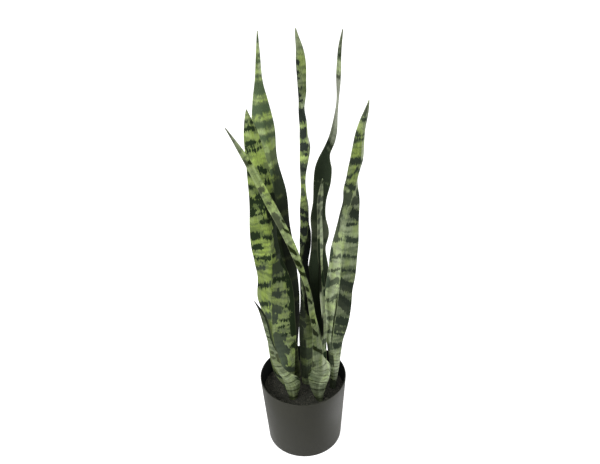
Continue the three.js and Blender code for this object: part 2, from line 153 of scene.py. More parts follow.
# Dark strokes of each leaf's print, and a few of painted shade: from and to in mm
# across the blade (minus is left of the midrib), the height at those two ends, and how
# tall the stroke is.
DARK_STROKES = {
    "leaf_tall_back_left": (
        (-5, 5, 733, 732, 8), (1, 5, 709, 707, 6), (-4, 2, 700, 700, 5),
        (-6, 6, 679, 679, 4), (-9, 9, 661, 661, 20), (-20, 18, 630, 629, 15),
        (-22, 19, 605, 603, 10), (-26, 10, 586, 583, 8), (8, 24, 583, 578, 8),
        # painted shade: the tall stroke from 18 to 30 mm right darkens the lower right
        # margin
        (-28, 8, 530, 524, 9), (6, 30, 528, 518, 22), (18, 30, 515, 505, 90),
        (-28, 30, 505, 492, 26), (-30, 30, 470, 462, 24), (-30, 30, 434, 424, 30),
        (-30, 30, 394, 384, 34), (-30, 30, 352, 342, 34), (-30, 30, 310, 300, 34),
        (-30, 30, 266, 258, 34), (-30, 30, 212, 206, 24),
    ),
    "leaf_wide_left": (
        (-6, 7, 636, 635, 4), (-12, 12, 624, 626, 6), (-13, -8, 597, 597, 9),
        (-4, 3, 597, 597, 5), (-18, -13, 572, 574, 8), (-19, -12, 554, 557, 9),
        (-26, 0, 507, 508, 20), (-26, -2, 490, 492, 13), (0, 26, 505, 498, 24),
        (-12, 14, 471, 470, 8), (-32, -12.5, 447, 449, 13), (-32, -12.5, 424, 427, 12),
        (-32, -12.5, 398, 401, 7), (-12.5, 20, 446, 430, 6), (-12.5, 0, 402, 403, 10),
        # painted shade: here and below, the strokes that start 22 mm or more right of
        # the midrib darken the right margin
        (0, 30, 404, 401, 6), (22, 40, 386, 372, 30), (0, 30, 359, 358, 7),
        (24, 40, 347, 338, 40), (18, 40, 308, 306, 7), (12, 30, 280, 282, 4),
        (12, 24, 266, 268, 3), (28, 42, 320, 300, 90), (-38, -16, 262, 268, 10),
        (-36, -6, 240, 250, 10), (22, 36, 216, 214, 8), (17, 27, 249, 251, 4),
        (-34, 0, 216, 222, 14), (10, 32, 424, 408, 28), (-20, -12, 535, 534, 6),
        (-10, 0, 520, 516, 14), (-13, 11, 603, 602, 4), (-14, 12, 591, 592, 5),
        (-3, 15, 560, 551, 12), (5, 17, 534, 529, 11), (-38, -8, 330, 347, 10),
        (-40, -6, 289, 310, 9), (28, 42, 264, 260, 40), (28, 38, 216, 212, 18),
        (8, 26, 484, 472, 34), (10, 32, 455, 430, 60), (0, 10, 482, 480, 16),
        (-28, -20, 168, 158, 18),
    ),
    "leaf_slender_front": (
        (-1, 5, 608, 606, 6), (4, 7, 548, 540, 12), (2, 7, 505, 503, 8),
        (-2, 7, 495, 479, 8), (-8, 3, 417, 402, 9), (-8, 0, 387, 376, 8),
        (-8, 1, 363, 348, 8), (-8, 1, 465, 447, 13), (-8, 1, 440, 424, 13),
        (3.5, 7, 428, 424, 12), (3.5, 7, 362, 350, 28), (-9, 0, 318, 306, 11),
        (-11, -1, 297, 278, 14), (6, 12, 278, 262, 50), (-15, 7, 259, 229, 10),
        (4, 7, 508, 506, 15), (-26, -18, 152, 170, 5), (-26, -19, 178, 176, 20),
    ),
    "leaf_tall_centre": (
        (-11, 2, 656, 659, 3), (-12, 12, 636, 638, 22), (-12, 0, 608, 610, 15),
        (-13, 1, 589, 585, 15), (-6, -2, 574, 574, 5), (-12, 2, 474, 465, 22),
        (1, 13, 478, 462, 26), (-13, 0, 440, 436, 17), (0, 14, 446, 426, 34),
        (-14, 0, 413, 413, 10), (1, 15, 412, 380, 66), (-14, 1, 370, 366, 26),
        (1, 15, 352, 335, 60), (1, 14, 296, 288, 44), (-14, 0, 318, 314, 16),
        (-12, 12, 552, 551, 10), (-13, 2.6, 714, 717, 7), (-12, 2.6, 699, 702, 6.5),
        (-12, 2.2, 690, 693, 6), (-12, 1.6, 677, 679, 7), (-12, 1.8, 664, 667, 6),
    ),
    "leaf_tall_right": (
        (-4, 5, 711, 711, 10), (-8, 10, 576, 572, 10), (-15, 14, 542, 536, 60),
        (-18, 17, 146, 144, 40), (-14, 12, 496, 494, 34), (-18, 17, 356, 354, 62),
        (-18, 17, 304, 302, 70), (-18, 17, 250, 248, 66), (-18, 17, 196, 194, 66),
        (-14, 12, 470, 466, 44), (-16, 15, 408, 406, 7),
    ),
    "leaf_narrow_inner": (
        (-4, 4, 536, 535, 5), (-9, 0, 386, 380, 104), (1, 9, 354, 350, 34),
        (-9, -1, 260, 258, 36), (3, 7, 322, 322, 15), (3, 7, 206, 206, 12),
        (-9, 8, 188, 186, 14),
    ),
    "leaf_short_front_left": (
        # painted shade: the strokes that reach 14 mm right darken the inside of the
        # channel along the right edge
        (5, 14, 352, 334, 22), (8, 14, 326, 304, 34), (8, 14, 292, 262, 40),
        (-2, 9, 301, 301, 3), (-2, 8, 285, 287, 3), (-8, 10, 362, 358, 16),
        (10.5, 14, 300, 300, 80), (13, 19, 166, 152, 9),
    ),
    "leaf_broad_right": (
        (-19, 2, 562, 561, 12), (0, 19, 558, 552, 11), (-10, -1, 535, 556, 6),
        (-19, -8, 534, 536, 7), (2, 19, 545, 528, 7), (-18, 2, 520, 516, 9),
        (8, 20, 505, 494, 10), (3, 20, 474, 466, 18), (0, 22, 451, 453, 3),
        (3, 26, 428, 422, 10), (-26, -17, 386, 386, 30), (0, 28, 369, 362, 5),
        (-27, -17, 334, 334, 20), (-12, -1, 603, 602, 5), (-13, -7, 595, 596, 9),
        (-5, 10, 597, 594, 3), (0, 9, 603, 599, 2.6), (-10, 10, 627, 626, 6),
        (0, 28, 396, 388, 7), (0, 24, 240, 232, 5), (0, 12, 211, 209, 14),
        (0, 28, 349, 328, 11), (0, 28, 319, 288, 13), (0, 27, 268, 259, 17),
    ),
}

# Dull green strokes under the dark ones, given in the same way.
DULL_STROKES = {
    "leaf_tall_back_left": (
        (-20, 20, 616, 616, 3), (-28, 26, 554, 549, 16), (-22, 20, 639, 638, 3),
    ),
    "leaf_wide_left": (
        (0, 30, 364, 363, 5), (-20, 20, 124, 122, 16), (0, 26, 381, 379, 24),
        (0, 15, 334, 333, 14), (14, 26, 335, 334, 5), (-32, -10, 372, 382, 10),
        (0, 23, 246, 244, 22), (0, 17, 230, 228, 34), (0, 21, 212, 211, 24),
        (0, 13, 194, 193, 36), (0, 24, 178, 150, 16), (-22, -6, 152, 150, 8),
        (9, 32, 450, 426, 110), (0, 18, 303, 302, 20), (0, 11, 284, 283, 26),
        (-9, 0, 350, 351, 14), (-8, 0, 310, 312, 14), (-19, 0, 278, 288, 16),
    ),
    "leaf_slender_front": (
        (-6, 3, 565, 565, 10), (-18, 18, 116, 114, 12), (-7, 2, 510, 510, 30),
        (-5, 2, 543, 540, 6), (-6, 1, 520, 514, 8), (-8, -1, 612, 612, 10),
        (2, 6.5, 265, 265, 22), (2, 6, 353, 353, 18), (1, 6, 428, 428, 16),
        (-18, -12, 214, 212, 22),
    ),
    "leaf_tall_centre": (
        (-14, 0, 396, 388, 12), (-15, 1, 340, 338, 20), (-15, 1, 286, 284, 44),
        (-15, 14, 190, 186, 26), (-14, 14, 146, 144, 30), (-15, 1, 252, 250, 14),
        (-15, -3, 232, 230, 30), (-15, 0, 212, 210, 20), (-12, 12, 550, 549, 22),
        (-9, -1, 531, 528, 10), (-10, -1, 516, 507, 13), (0, 13, 584, 580, 11),
        (-1, 1, 500, 497, 14), (-12, 1, 673, 674, 16),
    ),
    "leaf_tall_right": (
        (-4, 4, 737, 736, 22), (-6, 6, 720, 720, 5), (-16, 15, 392, 390, 34),
        (-6, 6, 679, 679, 6), (-16, 15, 432, 430, 60),
    ),
    "leaf_narrow_inner": (
        (-8, 1, 508, 506, 16), (-9, -1, 486, 484, 10), (-9, 0, 468, 466, 10),
        (1, 8, 480, 476, 12), (1, 7, 505, 505, 10), (-9, 0, 448, 446, 9),
        (0, 8, 418, 414, 10), (-9, 8, 150, 146, 24), (-9, 8, 222, 218, 12),
    ),
    "leaf_short_front_left": (
        (-3, 8, 246, 248, 6), (-14, 8, 231, 235, 6), (-9, 4, 330, 330, 8),
        (-18, 18, 117, 117, 12), (8, 14, 235, 235, 26),
    ),
    "leaf_broad_right": (
        (-12, 0, 640, 640, 22), (-24, -12, 436, 440, 6), (-24, 0, 412, 425, 6),
        (-26, 0, 377, 396, 6), (-26, 0, 352, 370, 5), (-16, -6, 303, 305, 11),
        (-23, 0, 228, 240, 6), (-17, 0, 494, 496, 26), (-12, 12, 122, 122, 22),
        (-27, 0, 325, 350, 14), (-22, 0, 298, 316, 9), (-16, 0, 260, 272, 12),
        (-20, 0, 193, 210, 16), (-16, 0, 178, 178, 26), (-26, -10, 455, 455, 90),
        (0, 18, 493, 492, 14), (0, 28, 344, 324, 22), (0, 28, 308, 278, 22),
        (0, 26, 250, 244, 14), (8, 21, 210, 204, 14),
    ),
}

# Light strokes that break the dark ones, given in the same way.
LIGHT_STROKES = {
    "leaf_wide_left": (
        (-10, -4, 598, 597, 3), (4, 9, 598, 598, 3), (-20, -5, 500, 502, 2.6),
        (-12, -4, 512, 511, 2.6), (-18, -3, 487, 490, 2.6), (-10, 0, 479, 478, 3.4),
        (2, 24, 393, 391, 4), (2, 26, 366, 365, 4), (13, 24, 330, 330, 2.6),
        (17, 26, 339, 338, 2.4), (-8, 4, 456, 455, 5),
    ),
    "leaf_tall_centre": (
        (-9, 6, 554, 553, 3), (-9, 2, 471, 464, 2.6), (1, 8, 650, 630, 3),
        (-12, 4, 424, 421, 3.5),
    ),
    "leaf_tall_back_left": ((-2, 24, 540, 534, 8),),
}

# A dark line along the midrib: from and to height, mm across, and strength.
RIBS = {
    "leaf_broad_right": (215, 320, -1.2, 1.0),
    "leaf_wide_left": (170, 400, 0.0, 0.35),
}

# Fine arched lines across the sheaths: the arches' middle in mm from the midrib, and
# each line's height, half its thickness in mm and its strength.
SHEATH_LINES = {
    "leaf_slender_front": (
        -2,
        (
            (121, 2.4, 0.6), (131, 1.6, 0.4), (141, 3.2, 1.0), (151, 1.4, 0.6),
            (156.5, 1.4, 0.6), (162.5, 2.4, 1.0), (172, 1.6, 0.6), (180.5, 2.0, 0.8),
            (192, 2.0, 0.7), (204, 1.8, 0.6),
        ),
    ),
    "leaf_short_front_left": (
        4,
        (
            (121, 2.2, 0.7), (140, 3.0, 1.0), (149.5, 1.5, 0.5), (157, 1.4, 0.45),
            (163.3, 2.4, 1.0), (173, 1.4, 0.45), (182.3, 2.2, 0.85), (193, 1.9, 0.7),
            (203, 1.6, 0.5), (212.5, 2.4, 0.9),
        ),
    ),
    "leaf_broad_right": (
        0,
        (
            (133, 2.0, 0.7), (141, 2.0, 0.8), (149, 2.2, 0.9), (157, 1.6, 0.5),
            (164, 2.0, 0.7), (171, 1.6, 0.5), (178, 1.8, 0.6), (185, 1.5, 0.5),
            (193, 2.2, 0.8),
        ),
    ),
}


class Look:
    """How one leaf's print is coloured, with painted light, shade and sheen laid on it.
    Colours are linear.
    """

    def __init__(self, dark, dull, soft, ragged, fresh, painted_light_and_tones, sheen):
        self.dark = dark  # colour of the dark bands
        self.dull = dull  # colour of the dull bands
        self.soft = soft  # mm over which a band fades out
        self.ragged = ragged  # mm that its teeth reach
        self.fresh = fresh  # height, yellow-green share of the left and the right half
        self.painted_light_and_tones = painted_light_and_tones  # height, brightness of the left and the right half: partly the print's own tone, partly painted light and shade
        self.sheen = sheen  # height, painted sheen of the left and the right half: a grey painted reflection


GREEN_BLACK = (0.020, 0.033, 0.014)
VIOLET_BLACK = (0.024, 0.031, 0.024)
SOOTY_GREEN = (0.020, 0.034, 0.017)
TEAL_BLACK = (0.038, 0.052, 0.033)
OLIVE_BLACK = (0.017, 0.026, 0.006)
MID_GREEN = (0.068, 0.098, 0.050)
SLATE = (0.043, 0.057, 0.045)
GREY_GREEN = (0.060, 0.075, 0.054)
DULL_OLIVE = (0.070, 0.086, 0.040)

# In each look the tones paint light and shade on the two halves as well as the print's
# own tone, and the sheen is a painted reflection.
LOOKS = {
    "leaf_tall_back_left": Look(
        MID_GREEN, (0.105, 0.135, 0.065), 3.0, 2.2,
        (
            (84, 0.3, 0.3), (590, 0.6, 0.6), (625, 1.0, 1.0), (655, 0.9, 0.9),
            (680, 0.5, 0.5), (744, 0.4, 0.1),
        ),
        (
            (84, 0.5, 0.6), (190, 0.3, 0.22), (235, 0.13, 0.04), (275, 0.2, 0.16),
            (330, 0.3, 0.24), (365, 0.45, 0.11), (400, 0.3, 0.12), (460, 0.35, 0.2),
            (490, 0.6, 0.45), (515, 1.1, 0.4), (530, 1.5, 0.6), (545, 1.8, 0.95),
            (560, 1.8, 1.1), (585, 1.7, 1.3), (620, 1.6, 1.6), (650, 1.5, 1.7),
            (700, 1.2, 1.9), (744, 1.1, 1.5),
        ),
        ((84, 0, 0), (575, 0, 0), (600, 0.12, 0.08), (640, 0.1, 0.05), (700, 0, 0.3)),
    ),
    "leaf_wide_left": Look(
        GREEN_BLACK, SLATE, 0.7, 3.4,
        (
            (84, 0.3, 0.4), (220, 0.7, 0.6), (400, 0.9, 0.8), (600, 0.9, 0.9),
            (655, 0.5, 0.5),
        ),
        (
            (84, 0.9, 0.4), (140, 0.85, 0.6), (160, 0.45, 1.9), (185, 0.45, 2.5),
            (210, 1.3, 1.7), (235, 0.3, 1.35), (262, 0.3, 1.2), (290, 1.15, 1.15),
            (330, 0.85, 0.9), (380, 0.95, 1.15), (410, 1.55, 1.25), (455, 1.2, 1.25),
            (470, 1.2, 0.6), (505, 1.2, 0.55), (520, 1.0, 0.95), (560, 1.2, 1.4),
            (610, 1.45, 1.3), (655, 1.2, 1.1),
        ),
        ((84, 0, 0.05), (180, 0.05, 0.12), (260, 0, 0.12), (360, 0, 0.12), (420, 0, 0)),
    ),
    "leaf_slender_front": Look(
        OLIVE_BLACK, (0.060, 0.072, 0.040), 0.9, 1.8,
        (
            (84, 0, 0), (230, 0, 0.1), (300, 0.5, 0.4), (500, 0.4, 0.4),
            (580, 0.7, 0.7), (663, 0, 0),
        ),
        (
            (84, 0.4, 0.8), (125, 0.38, 1.25), (145, 0.65, 1.75), (165, 1.0, 2.2),
            (205, 0.95, 1.7), (240, 1.0, 1.2), (290, 0.95, 0.85), (325, 1.05, 1.6),
            (360, 1.05, 0.6), (400, 1.1, 1.1), (440, 1.3, 1.5), (520, 1.5, 1.7),
            (590, 1.4, 1.6), (630, 0.85, 1.3), (663, 0.5, 1.1),
        ),
        (
            (84, 0, 0), (150, 0, 0.1), (205, 0, 0.25), (240, 0, 0), (625, 0, 0),
            (640, 0.15, 0.4),
        ),
    ),
    "leaf_tall_centre": Look(
        VIOLET_BLACK, GREY_GREEN, 0.9, 2.6,
        (
            (84, 0.1, 0.2), (400, 0.3, 0.3), (460, 0.7, 0.1), (630, 0.8, 0.1),
            (665, 0.1, 0.4), (720, 0.1, 0.5), (765, 0.0, 0.2),
        ),
        (
            (84, 1.3, 1.6), (150, 1.0, 1.5), (175, 0.75, 1.35), (200, 0.8, 1.6),
            (240, 1.1, 0.65), (290, 0.8, 0.13), (328, 1.35, 0.2), (350, 0.4, 0.2),
            (385, 0.2, 0.2), (410, 0.55, 0.25), (455, 0.85, 0.25), (485, 0.95, 1.05),
            (515, 2.1, 1.3), (560, 1.6, 1.9), (600, 2.1, 2.0), (640, 1.0, 2.3),
            (663, 0.8, 1.5), (670, 0.8, 0.85), (685, 0.8, 0.85), (697, 0.8, 0.95),
            (710, 0.9, 1.1), (745, 0.85, 0.95), (765, 1.0, 1.3),
        ),
        (
            (84, 0, 0), (280, 0.05, 0), (370, 0.05, 0), (420, 0, 0), (470, 0, 0.2),
            (500, 0, 0.6), (620, 0, 0.6), (640, 0, 0.3), (670, 0.05, 0), (730, 0.1, 0),
            (765, 0.3, 0.3),
        ),
    ),
    "leaf_tall_right": Look(
        (0.026, 0.036, 0.021), (0.048, 0.058, 0.036), 4.0, 2.0,
        (
            (84, 0.1, 0.1), (570, 0, 0), (675, 0, 0), (690, 0.2, 0.2), (706, 0.1, 0.1),
            (725, 0, 0),
        ),
        (
            (84, 0.4, 0.4), (260, 0.45, 0.5), (292, 0.5, 0.5), (320, 0.9, 0.6),
            (340, 2.0, 0.8), (372, 2.7, 1.6), (390, 1.7, 1.3), (430, 1.3, 1.3),
            (455, 1.4, 1.7), (485, 1.5, 1.3), (540, 1.35, 1.5), (560, 1.15, 1.2),
            (575, 0.55, 0.6), (592, 0.5, 0.65), (608, 0.6, 0.95), (625, 0.8, 1.0),
            (640, 1.25, 1.3), (655, 0.95, 0.95), (672, 0.95, 0.95), (684, 1.4, 1.4),
            (703, 1.4, 1.4), (718, 1.3, 0.9), (732, 2.1, 1.2), (748, 1.9, 1.2),
        ),
        (
            (84, 0.05, 0), (420, 0.08, 0.15), (450, 0.08, 0.45), (480, 0.05, 0.05),
            (560, 0.1, 0.1), (578, 0.4, 0.45), (600, 0.45, 0.6), (612, 0.7, 0.85),
            (648, 0.85, 0.95), (672, 0.8, 0.8), (684, 0.1, 0.2), (703, 0.1, 0.2),
            (725, 0.4, 0.1), (748, 0.5, 0.1),
        ),
    ),
    "leaf_narrow_inner": Look(
        SOOTY_GREEN, GREY_GREEN, 1.2, 1.4,
        ((84, 0.2, 0.2), (400, 0.1, 0.1), (440, 0, 0), (540, 0, 0)),
        (
            (84, 0.4, 0.5), (150, 0.6, 0.8), (195, 1.8, 3.0), (228, 1.5, 2.4),
            (238, 0.07, 1.7), (276, 0.07, 1.7), (288, 1.8, 1.55), (322, 1.75, 1.3),
            (335, 0.2, 0.9), (385, 0.08, 1.35), (395, 0.7, 2.0), (430, 1.1, 2.3),
            (450, 1.4, 2.1), (475, 0.95, 1.5), (540, 0.9, 1.4),
        ),
        (
            (84, 0, 0), (210, 0.1, 0.25), (275, 0.1, 0.3), (290, 0.5, 0.3),
            (325, 0.5, 0.2), (340, 0, 0.1), (420, 0.1, 0.3), (540, 0.2, 0.2),
        ),
    ),
    "leaf_short_front_left": Look(
        GREEN_BLACK, DULL_OLIVE, 0.9, 1.4,
        ((84, 0.1, 0.1), (160, 0.2, 0.2), (225, 0.1, 0.1), (367, 0.0, 0.1)),
        (
            (84, 0.55, 0.9), (120, 0.65, 1.2), (150, 1.25, 1.8), (175, 1.4, 1.9),
            (195, 1.1, 1.4), (220, 0.9, 1.0), (260, 0.85, 1.0), (300, 0.65, 1.1),
            (330, 0.55, 0.55), (350, 0.3, 0.2), (367, 0.2, 0.15),
        ),
        ((84, 0, 0), (140, 0, 0), (175, 0.12, 0.12), (230, 0.1, 0.1), (300, 0, 0)),
    ),
    "leaf_broad_right": Look(
        TEAL_BLACK, (0.048, 0.062, 0.040), 1.2, 2.8,
        (
            (84, 0, 0), (200, 0.2, 0), (240, 0.25, 0), (300, 0.3, 0), (430, 0.4, 0.2),
            (480, 0.1, 0.2), (540, 0.7, 0.3), (600, 0.8, 0.3), (656, 0, 0),
        ),
        (
            (84, 0.9, 0.75), (150, 1.3, 1.9), (165, 1.1, 2.1), (190, 0.95, 1.9),
            (205, 1.7, 1.15), (250, 2.3, 1.1), (300, 1.7, 0.8), (350, 2.0, 0.95),
            (430, 1.7, 1.4), (450, 1.2, 1.1), (480, 0.9, 0.8), (500, 1.0, 1.2),
            (520, 1.1, 1.6), (560, 1.1, 1.9), (600, 1.3, 1.7), (656, 1.5, 0.9),
        ),
        (
            (84, 0, 0), (150, 0, 0.3), (200, 0.2, 0.15), (220, 0.2, 0), (420, 0.3, 0),
            (450, 0.15, 0), (500, 0, 0.3), (560, 0, 0.5), (600, 0, 0.25),
            (635, 0.3, 0.3),
        ),
    ),
}

# How a blade is formed, as on the part's solids. Lengths in mm.
BLADE_THICKNESS = 2.2
FOOT_THICKNESS = 4.0
EDGE_THICKNESS = 1.2
RIM_THICKNESS = 0.55
TIP_HALF_WIDTH = 0.6
SLIM_BELOW = 6.0
EDGE_WAVE = 1.1
WAVE_LENGTH = 95.0
FOOT_TOP = 150.0
BLADE_START = 260.0
FOOT_CREASE = 0.1
BLADE_CREASE = 0.8
CREASE_REACH = 2.0
TANGENT_STEP = 0.05

# How finely a blade is laid out. Lengths in mm.
ROW_STEP = 1.7
COLUMN_STEP = 1.7
FEWEST_ROWS = 4
FEWEST_COLUMNS = 8
MIDRIB_SAMPLES = 80  # points from one station to the next when the midrib is measured
CROWDING = 1.15  # above 1 the columns lie closer together at the midrib
EDGE_INSETS = (1.4, 0.8, 0.35, 0.0)  # the last columns' distances from the edge
WIDEST_INSET = 0.3  # share of a narrow half that they may take

# How its print is drawn. Lengths in mm.
DEEPEST_BAND = 8.0  # depths inside a stroke count no further than this
END_TAPER = 3.0  # a stroke narrows over this length at its ends
BLUNT_END = 0.25  # share of a stroke's height that is left there
EDGE_REACH = 2.0  # a stroke that ends this near the blade's edge runs over it
WIDEST_MARGIN = 10.0  # distances to the edge count no further than this
HALVES_BLEND = 1.5  # the two halves' tones meet this far to either side of the midrib
RIB_FADE = 20  # a dark midrib fades over this height at its ends
RIB_REACH = 1.7  # and over its last mm across
SHEATH_ARCH = 0.03  # how far a sheath line drops for each square mm across

# ---------------------------------------------------------------- settings


def box_size(node):
    """How far a node of the frame reaches: half its width, and its height."""
    low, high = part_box(node)
    return (high.x - low.x) / 2, high.z - low.z


POT_RIM, POT_HEIGHT = box_size("pot")


def length_setting(name, about, default):
    """A setting for a length."""
    return bpy.props.FloatProperty(
        name=name, description=about, default=default, min=0, unit="LENGTH"
    )


def amount_setting(name, about, default, unit="NONE"):
    """A setting for a brightness or a power."""
    return bpy.props.FloatProperty(
        name=name, description=about, default=default, min=0, unit=unit
    )


def angle_setting(name, about, degrees):
    """A setting for an angle."""
    return bpy.props.FloatProperty(
        name=name, description=about, default=math.radians(degrees), subtype="ANGLE"
    )


def colour_setting(name, about, default):
    """A setting for a linear colour."""
    return bpy.props.FloatVectorProperty(
        name=name,
        description=about,
        default=default,
        subtype="COLOR",
        size=3,
        min=0,
        max=1,
    )


class PotSettings(bpy.types.PropertyGroup):
    """Sizes and colour of the pot"""

    rim_radius: length_setting("Rim radius", "Outer radius of the rim", POT_RIM)
    base_radius: length_setting("Base radius", "Outer radius at the underside", 0.0655)
    height: length_setting("Height", "Height of the rim", POT_HEIGHT)
    wall: length_setting("Wall", "Thickness of the wall", 0.002)
    floor: length_setting("Floor", "Thickness of the pot's floor", 0.003)
    colour: colour_setting("Colour", "Colour of the plastic", (0.040, 0.040, 0.030))


class SoilSettings(bpy.types.PropertyGroup):
    """Sizes and colours of the potting soil"""

    crown: length_setting("Crown", "Height of the soil in the middle of the pot", 0.118)
    fall: length_setting("Fall", "How much lower the soil lies at the wall", 0.014)
    crumbs: bpy.props.IntProperty(
        name="Crumbs",
        description="Number of crumbs and bark chips that lie on the soil",
        default=420,
        min=0,
    )
    dark: colour_setting("Dark peat", "Colour of the damp peat", (0.017, 0.018, 0.012))
    light: colour_setting("Dry peat", "Colour of the dry crumbs", (0.105, 0.100, 0.075))


class LeafSettings(bpy.types.PropertyGroup):
    """Colours of the leaves' ground"""

    lime: colour_setting("Lime", "Freshest colour of the ground", (0.280, 0.375, 0.085))
    pale: colour_setting("Pale", "Dullest colour of the ground", (0.255, 0.305, 0.175))
    dull: colour_setting(
        "Dull green", "Colour of the faint bands and of the halo", (0.066, 0.095, 0.048)
    )
    line: colour_setting(
        "Line green", "Colour of the fine lines and midribs", (0.014, 0.021, 0.005)
    )
    # grey of the painted sheen, a painted reflection on the leaves
    painted_sheen_grey: colour_setting("Painted sheen", "Colour of the grey sheen", (0.400, 0.410, 0.350))
    margin: colour_setting("Margin", "Colour of the edge's line", (0.300, 0.330, 0.190))


class StageSettings(bpy.types.PropertyGroup):
    """Camera and light"""

    distance: length_setting("Distance", "How far the camera stands in front", 1.064)
    height: length_setting("Height", "Height of the camera above the floor", 1.171)
    pitch: angle_setting("Pitch", "How far the camera looks down", 34.46)
    roll: angle_setting("Roll", "How far the camera leans sideways", -1.98)
    world: amount_setting("Surrounding light", "Light of the room's light side", 0.75)
    dim_side: amount_setting("Dim side", "Light of the room's dim side", 0.10)
    glow: amount_setting("Floor glow", "How much the camera sees it lifted", 0.95)
    mirrored: amount_setting("Mirrored glow", "How much the pot mirrors the floor", 0.5)
    bright_spot: amount_setting("Bright spot", "More of it at the pot's right", 1.8)
    key: amount_setting("Key light", "Power of the light at the left", 42, "POWER")
    fill: amount_setting("Fill light", "Power of the light at the right", 14, "POWER")
    top: amount_setting("Top light", "Power of the soft light overhead", 16, "POWER")


# ---------------------------------------------------------------- help for modelling


def start_clean():
    """Leaves edit mode and deselects everything."""
    if bpy.context.object and bpy.context.object.mode != "OBJECT":
        bpy.ops.object.mode_set(mode="OBJECT")
    bpy.ops.object.select_all(action="DESELECT")


def only(piece):
    """Makes one object the selected and active one."""
    start_clean()
    piece.select_set(True)
    bpy.context.view_layer.objects.active = piece


def apply_modifier(piece, kind, **values):
    """Adds a modifier, sets its values and applies it."""
    only(piece)
    modifier = piece.modifiers.new(kind.title(), kind)
    for name, value in values.items():
        setattr(modifier, name, value)
    bpy.ops.object.modifier_apply(modifier=modifier.name)


def smooth_shade(piece, degrees):
    """Shades a piece smooth, with hard edges above an angle."""
    only(piece)
    bpy.ops.object.shade_smooth_by_angle(angle=math.radians(degrees))


def face_outward():
    """Turns the faces of the mesh in edit mode outwards, and leaves edit mode."""
    bpy.ops.mesh.select_all(action="SELECT")
    bpy.ops.mesh.normals_make_consistent(inside=False)
    bpy.ops.object.mode_set(mode="OBJECT")


def hand_over(piece, name, material, node):
    """Names a finished piece, colours it and ties it to the node that it replaces."""
    piece.name = name
    piece.data.name = name
    piece.data.materials.clear()
    piece.data.materials.append(material)
    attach(piece, BODY)
    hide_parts(node)


def blend_between(low, high, value):
    """0 below low, 1 above high, and a smooth rise between."""
    share = np.clip((value - low) / (high - low), 0, 1)
    return share * share * (3 - 2 * share)


# ---------------------------------------------------------------- help for materials


class Nodes:
    """Builds one node tree and wires it as it goes."""

    def __init__(self, tree):
        self.tree = tree
        tree.nodes.clear()

    def add(self, kind, values=None, **settings):
        """Adds a node, sets it up, and sets or links its inputs by name or number."""
        node = self.tree.nodes.new(kind)
        for name, value in settings.items():
            setattr(node, name, value)
        for socket, value in (values or {}).items():
            self.put(value, node.inputs[socket])
        return node

    def put(self, value, socket):
        """Links a socket's source, or sets its plain value."""
        if isinstance(value, bpy.types.NodeSocket):
            self.tree.links.new(value, socket)
        elif socket.type == "RGBA":
            socket.default_value = (*value, 1)
        else:
            socket.default_value = value

    def maths(self, operation, *values, clamp=False):
        """One Math node's result."""
        inputs = dict(enumerate(values))
        node = self.add("ShaderNodeMath", inputs, operation=operation, use_clamp=clamp)
        return node.outputs[0]

    def vector(self, operation, *values):
        """One Vector Math node's outputs."""
        inputs = dict(enumerate(values))
        return self.add("ShaderNodeVectorMath", inputs, operation=operation).outputs

    def mix(self, share, first, second, mode="MIX"):
        """A mix of two colours."""
        inputs = {0: share, 6: first, 7: second}
        node = self.add("ShaderNodeMix", inputs, data_type="RGBA", blend_type=mode)
        return node.outputs[2]

    def dimmed(self, colour, share):
        """A colour made darker or lighter by a share."""
        grey = self.add("ShaderNodeCombineColor", {0: share, 1: share, 2: share})
        return self.mix(1.0, colour, grey.outputs[0], "MULTIPLY")

    def span(self, value, low, high, to_low=0.0, to_high=1.0):
        """A value carried from one range to another, smoothly and within its ends."""
        inputs = {0: value, 1: low, 2: high, 3: to_low, 4: to_high}
        node = self.add("ShaderNodeMapRange", inputs, interpolation_type="SMOOTHSTEP")
        return node.outputs[0]

    def attribute(self, name, output="Fac"):
        """An attribute of the mesh."""
        return self.add("ShaderNodeAttribute", attribute_name=name).outputs[output]

    def place(self):
        """A point's place on Object coordinates."""
        return self.add("ShaderNodeTexCoord").outputs["Object"]

    def noise(self, vector, scale=1.0, detail=2.0):
        """Noise from 0 to 1 at a point."""
        inputs = {"Vector": vector, "Scale": scale, "Detail": detail, "Roughness": 0.5}
        return self.add("ShaderNodeTexNoise", inputs).outputs["Fac"]

    def streaks(self, vector, stretch, detail):
        """Noise drawn out: the smaller a part of the stretch, the longer that way."""
        return self.noise(self.vector("MULTIPLY", vector, stretch)[0], detail=detail)

    def swing(self, noise, reach):
        """Noise turned into a shift to either side."""
        return self.maths("MULTIPLY", self.maths("SUBTRACT", noise, 0.5), reach)


FLOAT = "NodeSocketFloat"


def effect(name, inputs, build):
    """A shader node group of plain numbers, with named inputs and their defaults."""
    group = bpy.data.node_groups.new(name, "ShaderNodeTree")
    nodes = Nodes(group)
    for label, default in inputs.items():
        socket = group.interface.new_socket(label, in_out="INPUT", socket_type=FLOAT)
        socket.default_value = default
    results = build(nodes, nodes.add("NodeGroupInput").outputs)
    for label in results:
        group.interface.new_socket(label, in_out="OUTPUT", socket_type=FLOAT)
    nodes.add("NodeGroupOutput", results)
    return group


# The teeth of the dark bands: how each noise is stretched, and how far it reaches.
TEETH = (
    ((0.11, 0.06, 1), 7.0),
    ((0.34, 0.08, 1), 8.0),
    ((0.85, 0.16, 1), 6.0),
    ((1.5, 0.9, 1), 3.0),
)
FAINT_SHIFT = 9.0  # mm that the faint bands are shifted lengthwise
SHEATH_WANDER = 5.0  # mm that the sheath lines wander


def seeded_place(nodes, given):
    """A point's place on the leaf, in a part of the noise that is this leaf's own."""
    seeded = nodes.add("ShaderNodeCombineXYZ", {2: given["Seed"]}).outputs[0]
    return nodes.vector("ADD", nodes.attribute("lie", "Vector"), seeded)[0]


